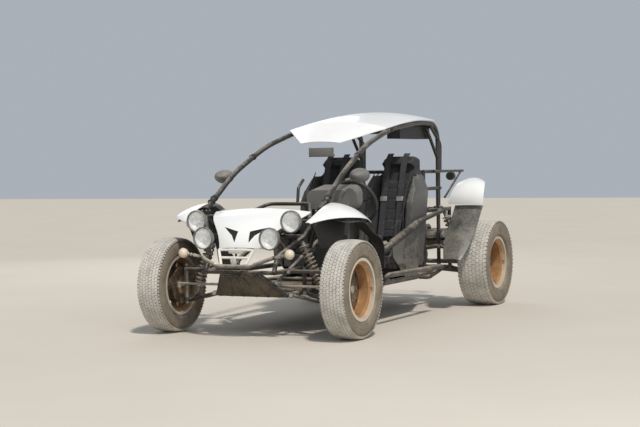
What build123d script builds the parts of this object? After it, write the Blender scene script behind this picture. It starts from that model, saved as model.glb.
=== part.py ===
from build123d import *
from math import asin, cos, degrees, radians, sin
import os

# Two-seat dune buggy, in millimetres, standing on its wheels
# Its front faces -Y, its left side is +X, +Z is up, and the ground is at Z 0

# Overall sizes
overall_length = 2990
front_overhang = 335
wheelbase = 2280
front_track = 1260
rear_track = 1310
front_axle_y = -overall_length / 2 + front_overhang
rear_axle_y = front_axle_y + wheelbase

# Clearances between pieces
seat_gap = 0.3
running_gap = 0.05

# Wheels and tyres
front_tyre_radius = 300
front_tyre_width = 166
rear_tyre_radius = 313
rear_tyre_width = 226
bead_radius = 178
flange_radius = 191
front_rim_width = 140
rear_rim_width = 190
rim_wall = 5
disc_inset = 34
disc_windows = 9
window_radius = 15
hub_radius = 52
hub_bore = 17
brake_radius = 118
brake_thickness = 9

# Tubes
main_tube = 17
frame_tube = 15
post_tube = 14
cross_tube = 13
side_tube = 12
light_tube = 10
thin_tube = 8
stalk_tube = 7
arm_tube = 12
plate = 4

# Front suspension and steering
kingpin_x = 522
lower_ball_z = 222
upper_ball_z = 394
upright_radius = 19
steer_arm = 95
tie_rod_radius = 8
tie_rod_z = 318

# Steering wheel
wheel_x = 245
wheel_behind = 905
wheel_z = 800
grip_radius = 150
grip_tube = 13

# Panels
panel_wall = 4
roof_wall = 5


def place(x, behind, z, side=1):
    """A point given by its distance behind the front axle, on the left (1) or the right (-1)."""
    return (side * x, front_axle_y + behind, z)


def tube(points, radius, bends=0):
    """A round bar along straight runs, joined by arcs where bends are given."""
    with BuildLine() as path:
        if bends:
            FilletPolyline(*points, radius=bends)
        else:
            Polyline(*points)
    line = path.wire()
    with BuildSketch(Plane(origin=line @ 0, z_dir=line % 0)) as ring:
        Circle(radius)
    sweep(ring.sketch, path=line, transition=Transition.RIGHT if not bends else Transition.TRANSFORMED)


def rod(start, end, radius):
    """A straight round bar between two points."""
    along = Vector(*end) - Vector(*start)
    with BuildSketch(Plane(origin=start, z_dir=along)) as ring:
        Circle(radius)
    extrude(ring.sketch, amount=along.length)


def strip(station, wall):
    """One cross-section of a curved panel: an arched strip across X, leaning back by its angle."""
    behind, z, lean, x_in, x_out, fall, crown = station
    normal = (0, sin(radians(lean)), cos(radians(lean)))
    plane = Plane(origin=place(0, behind, z), x_dir=(1, 0, 0), z_dir=(0, -normal[2], normal[1]))
    middle = (x_in + x_out) / 2
    rise = crown - fall / 2
    with BuildSketch(plane) as section:
        with BuildLine():
            top = ThreePointArc((x_in, 0), (middle, rise), (x_out, -fall))
            under = ThreePointArc((x_in, -wall), (middle, rise - wall), (x_out, -fall - wall))
            Line(top @ 0, under @ 0)
            Line(top @ 1, under @ 1)
        make_face()
    return section.sketch


def save(piece, label):
    """Names a finished piece and writes its STEP file."""
    piece.label = label
    export_step(piece, f"parts/{label}.step")


os.makedirs("parts", exist_ok=True)

# Frame: floor, front, side rails and rear, each cut to the tubes it is welded to
# Columns: x, distance behind the front axle, z
floor_z = 262
floor_x = 450
floor_front = 560
floor_rear = 1480
box_x = 236
box_z = 408
box_front = -250
box_rear = 150
box_foot = -95
tower_x = 310
tower_front = wheelbase - 350
tower_rear = wheelbase - 65
tower_end = wheelbase + 160
tower_z = 700
arm_z = 430
silencer_z = 470
flange = 8
front_foot = (402, 46, 756)
rear_foot_z = 716
tow_plate = 10
tow_hole = 10
tow_reach = 50
tow_z = box_z + 6
hitch_reach = 80
lower_rail = [(box_x, box_foot, floor_z), (box_x, box_rear, floor_z), (floor_x, floor_front, floor_z),
              (floor_x, floor_rear, floor_z), (tower_x, tower_front, floor_z), (tower_x, tower_end, floor_z)]
floor_crossings = [(box_x, box_foot), (box_x, box_rear), (floor_x, floor_front), (floor_x, 1020),
                   (floor_x, floor_rear), (tower_x, tower_front), (tower_x, tower_rear), (tower_x, tower_end)]
nose_tube = [(395, 36, 741), (338, -48, 617), (box_x, -205, 500), (box_x, box_front, box_z)]
side_rail = [(tower_x + 10, tower_rear, tower_z - 3), (458, tower_front - 40, 700), (470, floor_rear, 650), (498, 845, 505),
             (474, floor_front, 415), (floor_x, floor_front - 30, floor_z)]
dash_bar = [(390, 44, 735), (262, 190, 715), (150, 415, 800)]
grab_handle = [(60, 415, 800), (60, 430, 905), (60, 500, 952)]
# Columns of the lamps: x, distance behind the front axle, z, lens radius
lamps = [(326, -197, 712, 62), (227, -287, 613, 62)]
lamp_depth = 78
lamp_backs = [(x, behind + lamp_depth + seat_gap, z) for x, behind, z, radius in lamps]
lamp_stalks = [[lamp_backs[0], (lamps[0][0], -90, lamps[0][2]), (382, 16, lamps[0][2])],
               [lamp_backs[1], (lamps[1][0], -178, lamps[1][2]), (272, -150, 541)]]


def floor_tubes(grow=0):
    """The flat floor ladder; grow widens it into the room that other tubes leave around it."""
    for side in (1, -1):
        tube([place(*p, side) for p in lower_rail], frame_tube + grow, 60)
    for x, behind in floor_crossings:
        rod(place(-x, behind, floor_z), place(x, behind, floor_z), cross_tube + grow)


def front_side(side, grow=0):
    """One side of the nose: the box's rail, riser and post, and the tube up to the cage's foot."""
    tube([place(*p, side) for p in nose_tube], post_tube + grow, 40)
    rod(place(box_x, box_front, box_z, side), place(box_x, box_rear + frame_tube, box_z, side), frame_tube + grow)
    rod(place(115, box_front, box_z, side), place(box_x, box_foot, floor_z, side), frame_tube + grow)
    rod(place(box_x, box_rear, floor_z, side), place(box_x, box_rear, box_z, side), post_tube + grow)
    rod(place(box_x, box_rear, box_z, side), place(398, 49, 744, side), side_tube + grow)
    for stalk in lamp_stalks:
        tube([place(*p, side) for p in stalk], stalk_tube, 12)
    with Locations(place(*front_foot, side)):
        Box(46, 54, flange)


def rear_side(side, grow=0):
    """One side of the engine bay: three posts between the floor and two rails."""
    for behind in (tower_front, tower_rear):
        rod(place(tower_x, behind, floor_z, side), place(tower_x, behind, rear_foot_z - 4, side), post_tube + grow)
        with Locations(place(tower_x, behind, rear_foot_z - flange / 2, side)):
            Box(54, 54, flange)
    rod(place(tower_x, tower_end, floor_z, side), place(tower_x, tower_end, tower_z + frame_tube, side),
        post_tube + grow)
    for z in (tower_z, arm_z):
        rod(place(tower_x, tower_front, z, side), place(tower_x, tower_end, z, side), frame_tube + grow)


with BuildPart() as floor_frame:
    floor_tubes()
    with Locations(place(0, tower_end + hitch_reach / 2, floor_z)):
        Box(90, hitch_reach, tow_plate)
    with Locations(place(0, tower_end + hitch_reach - 24, floor_z)):
        Cylinder(tow_hole, 2 * tow_plate, mode=Mode.SUBTRACT)
save(floor_frame.part, "floor_frame")
with BuildPart() as floor_room:
    floor_tubes(seat_gap)

with BuildPart() as front_frame:
    for side in (1, -1):
        front_side(side)
    add(floor_room.part, mode=Mode.SUBTRACT)
save(front_frame.part, "front_frame")
with BuildPart() as front_room:
    for side in (1, -1):
        front_side(side, seat_gap)
with BuildPart() as whole_bars:
    rod(place(-box_x, box_front, box_z), place(box_x, box_front, box_z), cross_tube)
    with Locations(place(0, box_front - tow_reach / 2, tow_z)):
        Box(60, tow_reach, tow_plate)
    with Locations(place(0, box_front - tow_reach + 18, tow_z)):
        Cylinder(tow_hole, 2 * tow_plate, mode=Mode.SUBTRACT)
    rod(place(-338, -48, 617), place(338, -48, 617), side_tube)
    tube([place(*p, -1) for p in dash_bar] + [place(*p) for p in reversed(dash_bar)], side_tube, 60)
    tube([place(*p) for p in grab_handle], light_tube, 40)
    add(front_room.part, mode=Mode.SUBTRACT)
with BuildPart() as front_bars:
    for bar in whole_bars.part.solids().sort_by(SortBy.VOLUME)[-3:]:
        add(bar)
save(front_bars.part, "front_bars")

with BuildPart() as rear_sides:
    for side in (1, -1):
        rear_side(side)
    add(floor_room.part, mode=Mode.SUBTRACT)
with BuildPart() as rear_room:
    for side in (1, -1):
        rear_side(side, seat_gap)
with BuildPart() as rear_crossings:
    for behind, z in ((tower_end, silencer_z), (tower_end, tower_z), (tower_rear, tower_z)):
        rod(place(-tower_x, behind, z), place(tower_x, behind, z), cross_tube)
    add(rear_room.part, mode=Mode.SUBTRACT)
with BuildPart() as rear_frame:
    add(rear_sides.part)
    add(rear_crossings.part)
save(rear_frame.part, "rear_frame")

with BuildPart() as whole_rails:
    for side in (1, -1):
        tube([place(*p, side) for p in side_rail], main_tube, 60)
    add(floor_room.part, mode=Mode.SUBTRACT)
    add(rear_room.part, mode=Mode.SUBTRACT)
with BuildPart() as side_rails:
    for rail in whole_rails.part.solids().sort_by(SortBy.VOLUME)[-2:]:
        add(rail)
save(side_rails.part, "side_rails")

# Roll cage: roof rails that run down into the rear hoop, braces and the seat-back ring
ring_z = 985
front_foot_top = front_foot[2] + flange / 2 + seat_gap
rear_foot_top = rear_foot_z + seat_gap
rail = [(403, 55, front_foot_top + 15), (396, 400, 1000), (374, 800, 1175), (352, 1250, 1285), (331, tower_rear - 415, 1337),
        (312, tower_rear, 1333), (tower_x, tower_rear, rear_foot_top + 4)]
rail_bends = [1400, 1700, 2000, 2400, 150]
brace = [(322, tower_rear - 175, 1322), (tower_x, tower_rear + 53, 1190), (tower_x, tower_rear + 43, ring_z)]
hoop_crossing = tower_rear - 95
with BuildPart() as cage:
    for side in (1, -1):
        tube([place(*p, side) for p in rail], main_tube, rail_bends)
        tube([place(*p, side) for p in brace], side_tube, 60)
        rod(place(tower_x, tower_rear - 215, 1300, side), place(tower_x, tower_rear, 1075, side), side_tube)
        rod(place(tower_x, tower_front, rear_foot_top, side), place(tower_x, tower_front, ring_z, side), post_tube)
        for z in (ring_z, 860):
            rod(place(tower_x, tower_front, z, side), place(tower_x, tower_rear + 43, z, side), cross_tube)
        for behind in (tower_front, tower_rear):
            with Locations(place(tower_x, behind, rear_foot_top + flange / 2, side)):
                Box(54, 54, flange)
        with Locations(place(front_foot[0], front_foot[1], front_foot_top + flange / 2, side)):
            Box(46, 54, flange)
    for behind, z, x in ((1180, 1262, 355), (hoop_crossing, 1318, 320), (tower_front, ring_z, tower_x),
                         (tower_rear, ring_z, tower_x)):
        rod(place(-x, behind, z), place(x, behind, z), side_tube)
save(cage.part, "roll_cage")

# Roof: a domed sheet on the rails, with a drooping front lip
# Columns: distance behind the front axle, z, lean, half width, crown
roof_rows = [(1150, 1290, -12, 370, 54), (1430, 1329, -6, 366, 62),
             (tower_rear - 465, 1358, -3, 352, 60),
             (tower_rear - 125, 1361, 2, 338, 50)]
lip_row = (872, 1192, -32, 142, 12)
roof_sections = [strip((behind, z, lean, -half, half, 0, crown), roof_wall)
                 for behind, z, lean, half, crown in (lip_row, *roof_rows)]
with BuildPart() as roof:
    loft(roof_sections[1:])
    loft(roof_sections[:2], ruled=True)
save(roof.part, "roof_panel")

# Nose: a white panel that falls forward between the headlamps, with two slanted gills
# Columns: distance behind the front axle, z, lean, half width, crown
nose_rows = [(-215, 548, -62, 156, 16), (-165, 640, -50, 196, 22), (-60, 712, -26, 284, 26),
             (60, 762, -12, 335, 22)]
gill = [(160, 677), (40, 651), (48, 583), (80, 627)]
with BuildPart() as nose:
    loft([strip((behind, z, lean, -half, half, 0, crown), panel_wall)
          for behind, z, lean, half, crown in nose_rows])
    with BuildSketch(Plane.XZ.offset(-front_axle_y + 400)) as gills:
        for side in (1, -1):
            Polygon(*[(side * x, z) for x, z in gill], align=None)
    extrude(gills.sketch, amount=-500, mode=Mode.SUBTRACT)
save(nose.part, "nose_panel")

# Front fenders: white tops over the wheels, with a dark liner that drops behind each wheel
# Columns: distance behind the front axle, z at the inner edge, lean, inner x, outer x, fall, crown
fender_rows = [(-150, 706, -28, 400, 434, 6, 4), (-20, 776, -14, 430, 590, 44, 16),
               (120, 812, -2, 430, 628, 84, 22), (240, 808, 8, 430, 632, 92, 20),
               (345, 768, 28, 432, 626, 88, 16)]
liner_rows = [(-120, 684, -28, 412, 444, 6, 4), (-14, 748, -14, 434, 580, 44, 14),
              (118, 786, -2, 434, 622, 84, 22), (232, 782, 8, 434, 626, 92, 20),
              (346, 726, 30, 436, 622, 88, 16), (470, 620, 52, 500, 618, 40, 10),
              (545, 480, 76, 512, 612, 8, 6), (560, 390, 92, 516, 600, 4, 4)]
with BuildPart() as fenders:
    loft([strip(row, panel_wall) for row in fender_rows])
    mirror(about=Plane.YZ)
save(fenders.part, "front_fenders")
inner_wall = [(-116, 690), (-14, 753), (50, 776), (118, 790), (232, 786), (344, 732), (300, 600), (190, 545), (-20, 545)]
with BuildPart() as liners:
    loft([strip(row, panel_wall) for row in liner_rows])
    with BuildSketch(Plane.YZ.offset(433)) as wall:
        Polygon(*[(front_axle_y + behind, z) for behind, z in inner_wall], align=None)
    extrude(wall.sketch, amount=panel_wall)
    mirror(about=Plane.YZ)
save(liners.part, "front_liners")
# Footwell sides: dark plates that stand on the outer side of the widening lower rails
well_slope = (floor_x - box_x) / (floor_front - box_rear)
well_out = frame_tube + seat_gap
with BuildPart() as foot_panels:
    for side in (1, -1):
        start, end = (Vector(*place(box_x + well_slope * (behind - box_rear), behind, floor_z, side))
                      for behind in (190, 440))
        run = (end - start).normalized()
        outward = Vector(side * run.Y, -side * run.X, 0)
        with BuildSketch(Plane(origin=start + outward * well_out, x_dir=run, z_dir=outward)) as sheet:
            if side == 1:
                Polygon((0, 0), (280, 0), (280, 340), (60, 320), (0, 200), align=None)
            else:
                Polygon((0, 0), (280, 0), (280, -340), (60, -320), (0, -200), align=None)
        extrude(sheet.sketch, amount=panel_wall)
save(foot_panels.part, "foot_panels")

# Rear fenders: white caps high over the wheels, and dark guards that curve down in front of them
# Columns: distance behind the rear axle, z at the inner edge, lean, inner x, outer x, fall, crown
cap_rows = [(-240, 745, -84, 455, 722, 2, 14), (-205, 862, -58, 490, 722, 4, 18),
            (-110, 910, -16, 508, 694, 8, 22), (40, 902, 10, 520, 630, 8, 16)]
guard_rows = [(-184, 735, -78, 490, 705, 0, 14), (-315, 612, -52, 495, 710, 0, 26),
              (-450, 480, -46, 505, 705, 0, 26), (-568, 362, -44, 545, 670, 0, 14)]
with BuildPart() as caps:
    loft([strip((wheelbase + row[0], *row[1:]), panel_wall) for row in cap_rows])
    mirror(about=Plane.YZ)
save(caps.part, "rear_fenders")
with BuildPart() as guards:
    loft([strip((wheelbase + row[0], *row[1:]), panel_wall) for row in guard_rows])
    mirror(about=Plane.YZ)
save(guards.part, "rear_guards")

# Side panels: thin dark trapezoids under the padded side rails
panel_x = floor_x
panel_low = floor_z + frame_tube + seat_gap
panel_outline = [(1020, 530), (floor_rear, 634), (floor_rear - 10, panel_low), (1240, panel_low), (1040, 420)]
with BuildPart() as side_panels:
    for side in (1, -1):
        with BuildSketch(Plane.YZ.offset(side * panel_x - plate / 2)) as outline:
            Polygon(*[(front_axle_y + behind, z) for behind, z in panel_outline], align=None)
        extrude(outline.sketch, amount=plate)
save(side_panels.part, "side_panels")

# Side steps: tubes outboard of the cabin
step_in = floor_x + frame_tube + seat_gap
step = [(step_in, 640, floor_z), (535, 640, floor_z), (600, 600, 338), (600, 1610, 330),
        (535, 1460, floor_z), (step_in, 1460, floor_z)]
with BuildPart() as side_steps:
    for side in (1, -1):
        tube([place(*p, side) for p in step], main_tube, 25)
        rod(place(562, 623, 293, side), place(562, 1522, 290, side), thin_tube)
save(side_steps.part, "side_steps")

# Bull bar: a wide U tube with a small barred grille guard above it
bull_front = side_tube - front_overhang
bull = [(box_x, -230, 500), (232, -285, 494), (110, bull_front, 448)]
guard_low = (82, bull_front, 450)
guard_high = (118, -285, 545)
signal_place = (365, -291, 523)
signal_radius = 30
with BuildPart() as bull_bar:
    tube([place(*p, -1) for p in bull] + [place(*p) for p in reversed(bull)], side_tube, 30)
    for side in (1, -1):
        rod(place(*guard_low, side), place(*guard_high, side), thin_tube + 1)
        signal = Vector(*place(*signal_place, side))
        foot = Vector(*place(234, -262, 497, side))
        rod(foot, signal - (signal - foot).normalized() * (signal_radius + seat_gap), stalk_tube)
    for x, behind, z in (guard_low, (100, -303, 499), guard_high):
        rod(place(-x, behind, z), place(x, behind, z), thin_tube)
save(bull_bar.part, "bull_bar")

# Skid plate under the nose
skid_run = Vector(*place(0, box_foot, floor_z)) - Vector(*place(0, box_front, box_z))
skid_out = skid_run.cross(Vector(1, 0, 0)).normalized()
with BuildPart() as skid:
    with BuildSketch(Plane(origin=Vector(*place(0, box_front, box_z)) + skid_out * (frame_tube + seat_gap),
                           x_dir=(1, 0, 0), z_dir=skid_out)) as sheet:
        Polygon((-122, 0), (122, 0), (232, -skid_run.length), (-232, -skid_run.length), align=None)
    extrude(sheet.sketch, amount=plate)
save(skid.part, "skid_plate")

# Floor pan, flat under the lower rails
with BuildPart() as floor:
    with BuildSketch(Plane.XY.offset(floor_z - frame_tube - seat_gap - plate)) as sheet:
        Polygon(*[place(x, behind, 0)[:2] for x, behind in
                  ((-240, 170), (240, 170), (440, floor_front), (440, floor_rear), (300, tower_front),
                   (-300, tower_front), (-440, floor_rear), (-440, floor_front))], align=None)
    extrude(sheet.sketch, amount=plate)
save(floor.part, "floor_pan")

# Round lamps: bowl shells with clear lenses
lens_dome = 13
lens_curve = (lamps[0][3] ** 2 + lens_dome ** 2) / (2 * lens_dome)
with BuildPart() as shells:
    for x, behind, z, radius in lamps:
        for side in (1, -1):
            with BuildSketch(Plane(origin=place(x, behind, z, side), x_dir=(1, 0, 0), z_dir=(0, 0, 1))) as bowl:
                with BuildLine():
                    Polyline((0, lamp_depth), (22, lamp_depth), (48, 52), (radius + 5, 16), (radius + 5, -4),
                             (radius + 0.3, -4), (radius + 0.3, 14), (44, 48), (20, 70), (0, 70), (0, lamp_depth))
                make_face()
            revolve(bowl.sketch, axis=Axis(place(x, behind, z, side), (0, 1, 0)))
save(shells.part, "headlamp_shells")
with BuildPart() as lenses:
    for x, behind, z, radius in lamps:
        for side in (1, -1):
            with BuildSketch(Plane(origin=place(x, behind, z, side), x_dir=(1, 0, 0), z_dir=(0, 0, 1))) as glass:
                with BuildLine():
                    dome = CenterArc((0, lens_curve - lens_dome), lens_curve, -90, degrees(asin(radius / lens_curve)))
                    Polyline(dome @ 0, (0, 8), (radius, 8), dome @ 1)
                make_face()
            revolve(glass.sketch, axis=Axis(place(x, behind, z, side), (0, 1, 0)))
save(lenses.part, "headlamp_lenses")

# Round turn signals on the bull bar's stalks
with BuildPart() as signals:
    for side in (1, -1):
        with Locations(place(*signal_place, side)):
            Sphere(signal_radius)
save(signals.part, "turn_signals")

# Suspension arms: each pair turns on barrels beside the frame and ends at the upright
barrel = 16
barrel_half = 18
ball_radius = 20
ball_height = 26
front_barrel_x = box_x + frame_tube + seat_gap + barrel
rear_barrel_x = tower_x + frame_tube + seat_gap + barrel
upper_boss_z = upper_ball_z + seat_gap + ball_height / 2
lower_boss_z = lower_ball_z - seat_gap - ball_height / 2
hub_face = rear_track / 2 - disc_inset - 40 - 6 - 36


def crossbar(x, behind, z, half, radius, side):
    """A round bar that lies along Y, centred on a point."""
    rod(place(x, behind - half, z, side), place(x, behind + half, z, side), radius)


strut_x = 446
strut_seat_z = 230
with BuildPart() as front_arms:
    for side in (1, -1):
        for inner, outer in ((-105, -75), (105, 75)):
            crossbar(front_barrel_x, inner, box_z, barrel_half, barrel, side)
            rod(place(front_barrel_x, inner, box_z, side), place(484, outer, upper_boss_z, side), arm_tube)
        crossbar(482, 0, upper_boss_z, 80, arm_tube, side)
        rod(place(482, 0, upper_boss_z, side), place(kingpin_x, 0, upper_boss_z, side), arm_tube - 2)
        with Locations(place(kingpin_x, 0, upper_boss_z, side)):
            Cylinder(ball_radius, ball_height)
        for inner in (-75, 110):
            crossbar(front_barrel_x, inner, floor_z, barrel_half, barrel, side)
            rod(place(front_barrel_x, inner, floor_z, side), place(kingpin_x - 12, 0, lower_boss_z - 6, side), arm_tube)
        crossbar(strut_x, 4, strut_seat_z, 26, arm_tube, side)
        with Locations(place(kingpin_x, 0, lower_boss_z, side)):
            Cylinder(ball_radius, ball_height)
save(front_arms.part, "front_arms")
# Columns: inner z, inner front, inner rear, outer z, outer front, outer rear, as distances behind the rear axle
rear_arm_rows = [(floor_z, -100, 100, 240, -40, 40), (arm_z, -130, 5, 388, -44, 10)]
with BuildPart() as rear_arms:
    for side in (1, -1):
        for inner_z, inner_front, inner_rear, outer_z, outer_front, outer_rear in rear_arm_rows:
            crossbar(hub_face - seat_gap - 14, wheelbase + (outer_front + outer_rear) / 2, outer_z, 52, 14, side)
            for inner, outer in ((inner_front, outer_front), (inner_rear, outer_rear)):
                crossbar(rear_barrel_x, wheelbase + inner, inner_z, barrel_half, barrel, side)
                rod(place(rear_barrel_x, wheelbase + inner, inner_z, side),
                    place(hub_face - 14, wheelbase + outer, outer_z, side), arm_tube)
save(rear_arms.part, "rear_arms")

# Coil springs, modelled by their ribbed outline, and the dampers inside them
# Columns: top x, top behind, top z, bottom x, bottom behind, bottom z
eye_radius = 13
rear_strut = wheelbase + 70
struts = [(316, -32, 617 - side_tube - seat_gap - eye_radius, strut_x, 0, strut_seat_z + arm_tube + seat_gap + eye_radius),
          (tower_x, rear_strut, tower_z - frame_tube - seat_gap - eye_radius, 470, rear_strut,
           246.6 + arm_tube + seat_gap + eye_radius)]
coils = 10
coil_radius = 34
wire_radius = 6
damper_radius = 15


def strut_plane(top_x, top_behind, top_z, low_x, low_behind, low_z, side):
    start = Vector(*place(low_x, low_behind, low_z, side))
    end = Vector(*place(top_x, top_behind, top_z, side))
    return Plane(origin=start, x_dir=(0, 1, 0), z_dir=end - start), (end - start).length


with BuildPart() as springs:
    for strut in struts:
        for side in (1, -1):
            plane, length = strut_plane(*strut, side)
            first = 62
            pitch = (length - first - 40) / coils
            core = damper_radius + seat_gap
            with BuildSketch(Plane(origin=plane.origin, x_dir=plane.x_dir, z_dir=-plane.y_dir)) as outline:
                with BuildLine():
                    edge = [(coil_radius - wire_radius * (1 + (-1) ** k), first + pitch * k / 2)
                            for k in range(2 * coils + 1)]
                    Polyline((core, edge[0][1]), *edge, (core, edge[-1][1]), (core, edge[0][1]))
                make_face()
            revolve(outline.sketch, axis=Axis(plane.origin, plane.z_dir))
save(springs.part, "coil_springs")
with BuildPart() as dampers:
    for strut in struts:
        for side in (1, -1):
            plane, length = strut_plane(*strut, side)
            with BuildSketch(plane) as body:
                Circle(damper_radius)
            extrude(body.sketch, amount=length)
            for x, behind, z in (strut[:3], strut[3:]):
                crossbar(x, behind, z, 15, eye_radius, side)
save(dampers.part, "dampers")

# Steering knuckles, each with its brake caliper beside the disc
caliper_x = front_track / 2 - disc_inset - 40 - 6
tie_end_half = 9
arm_eye_half = 8
arm_eye_z = tie_rod_z - tie_end_half - seat_gap - arm_eye_half
for label, side in (("left", 1), ("right", -1)):
    with BuildPart() as knuckle:
        rod(place(kingpin_x, 0, lower_ball_z, side), place(kingpin_x, 0, upper_ball_z, side), upright_radius)
        rod(place(kingpin_x, 0, front_tyre_radius, side),
            place(front_track / 2 - disc_inset - 4, 0, front_tyre_radius, side), hub_bore - running_gap)
        rod(place(kingpin_x, -10, arm_eye_z, side), place(kingpin_x, -steer_arm, arm_eye_z, side), arm_eye_half - 1)
        with Locations(place(kingpin_x, -steer_arm, arm_eye_z, side)):
            Cylinder(15, 2 * arm_eye_half)
        with Locations(place(caliper_x - 9, 58, front_tyre_radius + 22, side)):
            Box(18, 116, 44)
    save(knuckle.part, f"knuckle_{label}")

# Steering gear: rack housing and column; the tie rods move with the rack
rack_half = 200
rack_radius = 24
pinion_x = 150
with BuildPart() as gear:
    with BuildSketch(Plane.YZ.offset(-rack_half)) as ring:
        with Locations(place(0, -steer_arm, tie_rod_z)[1:]):
            Circle(rack_radius)
            Circle(tie_rod_radius + running_gap, mode=Mode.SUBTRACT)
    extrude(ring.sketch, amount=2 * rack_half)
save(gear.part, "rack_housing")
with BuildPart() as tie_rods:
    rod(place(-kingpin_x, -steer_arm, tie_rod_z), place(kingpin_x, -steer_arm, tie_rod_z), tie_rod_radius)
    for side in (1, -1):
        with Locations(place(kingpin_x, -steer_arm, tie_rod_z, side)):
            Cylinder(14, 2 * tie_end_half)
save(tie_rods.part, "tie_rods")

# Steering wheel on its column, which runs straight up from the pinion
wheel_centre = Vector(*place(wheel_x, wheel_behind, wheel_z))
pinion = Vector(*place(pinion_x, -steer_arm, tie_rod_z))
column_dir = (wheel_centre - pinion).normalized()
column_x = Vector(1, 0, 0) - column_dir * column_dir.X
wheel_plane = Plane(origin=wheel_centre, x_dir=column_x, z_dir=column_dir)
hub_length = 66
with BuildPart() as column:
    rod(pinion + column_dir * (rack_radius + 2), wheel_centre - column_dir * (hub_length + seat_gap), 11)
    rod(wheel_centre - column_dir * 380, wheel_centre - column_dir * (hub_length + 8), 20)
save(column.part, "steering_column")
with BuildPart() as steering_wheel:
    with BuildSketch(Plane(origin=wheel_centre, x_dir=column_x, z_dir=-wheel_plane.y_dir)) as rim:
        with Locations((grip_radius, 0)):
            Circle(grip_tube)
    revolve(rim.sketch, axis=Axis(wheel_centre, column_dir))
    for angle in (-15, 90, 195):
        spoke = wheel_plane.from_local_coords((grip_radius * cos(radians(angle)),
                                               grip_radius * sin(radians(angle)), 0))
        rod(wheel_plane.from_local_coords((0, 0, -20)), spoke, 9)
    rod(wheel_centre - column_dir * hub_length, wheel_centre - column_dir * 4, 26)
save(steering_wheel.part, "steering_wheel")

# Dash cowl in front of the steering wheel
with BuildPart() as dash:
    with BuildSketch(Plane(origin=place(265, 415 + side_tube + seat_gap, 826), x_dir=(1, 0, 0),
                           z_dir=(0, 1, 0))) as low:
        RectangleRounded(290, 120, 40)
    with BuildSketch(Plane(origin=place(265, 620, 838), x_dir=(1, 0, 0), z_dir=(0, 1, 0))) as high:
        RectangleRounded(320, 160, 60)
    loft([low.sketch, high.sketch])
save(dash.part, "dash_cowl")

# Wheels: pressed steel rims with tyres, hubs and brake discs; the rear pair carries its drive shafts
# Columns: name, side, distance behind the front axle, track, tyre radius, tyre width, rim width
corners = [("front_left", 1, 0, front_track, front_tyre_radius, front_tyre_width, front_rim_width),
           ("front_right", -1, 0, front_track, front_tyre_radius, front_tyre_width, front_rim_width),
           ("rear_left", 1, wheelbase, rear_track, rear_tyre_radius, rear_tyre_width, rear_rim_width),
           ("rear_right", -1, wheelbase, rear_track, rear_tyre_radius, rear_tyre_width, rear_rim_width)]
for name, side, behind, track, tyre_radius, tyre_width, rim_width in corners:
    centre = place(track / 2, behind, tyre_radius, side)
    turning = Axis(centre, (1, 0, 0))
    section = Plane(origin=centre, x_dir=(side, 0, 0), z_dir=(0, -side, 0))
    half = tyre_width / 2
    seat = rim_width / 2 - rim_wall - seat_gap
    bead = bead_radius + seat_gap
    bead_top = flange_radius + 2
    shoulder = tyre_radius - 26
    with BuildPart() as tyre:
        with BuildSketch(section) as outline:
            with BuildLine():
                Polyline((-seat, bead_top), (-seat, bead), (seat, bead), (seat, bead_top))
                ThreePointArc((seat, bead_top), (half - 1, (bead_top + shoulder) / 2), (half - 8, shoulder))
                Line((half - 8, shoulder), (half - 24, tyre_radius - 5))
                ThreePointArc((half - 24, tyre_radius - 5), (0, tyre_radius), (24 - half, tyre_radius - 5))
                Line((24 - half, tyre_radius - 5), (8 - half, shoulder))
                ThreePointArc((8 - half, shoulder), (1 - half, (bead_top + shoulder) / 2), (-seat, bead_top))
            make_face()
        revolve(outline.sketch, axis=turning)
    save(tyre.part, f"tyre_{name}")

    lip = rim_width / 2
    drop = bead_radius - 20
    disc_u = -disc_inset
    with BuildPart() as rim:
        with BuildSketch(section) as barrel:
            with BuildLine():
                Polyline((-lip, flange_radius), (-lip + rim_wall, flange_radius), (-lip + rim_wall, bead_radius),
                         (-seat + 22, bead_radius), (-seat + 30, drop), (seat - 30, drop), (seat - 22, bead_radius),
                         (lip - rim_wall, bead_radius), (lip - rim_wall, flange_radius), (lip, flange_radius),
                         (lip, bead_radius - rim_wall), (seat - 18, bead_radius - rim_wall),
                         (seat - 28, drop - rim_wall), (-seat + 28, drop - rim_wall),
                         (-seat + 18, bead_radius - rim_wall), (-lip, bead_radius - rim_wall), (-lip, flange_radius))
            make_face()
        revolve(barrel.sketch, axis=turning)
        with BuildSketch(section) as dish:
            with BuildLine():
                Polyline((disc_u, hub_bore), (disc_u, 78), (disc_u + 16, 100), (disc_u + 6, drop - rim_wall + 1),
                         (disc_u + 12, drop - rim_wall + 1), (disc_u + 22, 100), (disc_u + 6, 76),
                         (disc_u + 6, hub_bore), (disc_u, hub_bore))
            make_face()
        revolve(dish.sketch, axis=turning)
        with BuildSketch(Plane(origin=centre, x_dir=(0, 1, 0), z_dir=(side, 0, 0))) as windows:
            with PolarLocations(126, disc_windows):
                Circle(window_radius)
        extrude(windows.sketch, amount=40, both=True, mode=Mode.SUBTRACT)
        with BuildSketch(section) as hub:
            with BuildLine():
                Polyline((disc_u + 38, 0), (disc_u + 38, 26), (disc_u + 6, 30), (disc_u + 6, hub_radius),
                         (disc_u - 2, hub_radius), (disc_u - 40, hub_radius), (disc_u - 40, hub_bore),
                         (disc_u + 10, hub_bore), (disc_u + 10, 0), (disc_u + 38, 0))
            make_face()
        revolve(hub.sketch, axis=turning)
        with BuildSketch(section) as rotor:
            with BuildLine():
                Polyline((disc_u - 40, hub_radius - 4), (disc_u - 40, brake_radius),
                         (disc_u - 40 + brake_thickness, brake_radius), (disc_u - 40 + brake_thickness, hub_radius - 4),
                         (disc_u - 40, hub_radius - 4))
            make_face()
        revolve(rotor.sketch, axis=turning)
    save(rim.part, f"rim_{name}")

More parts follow.
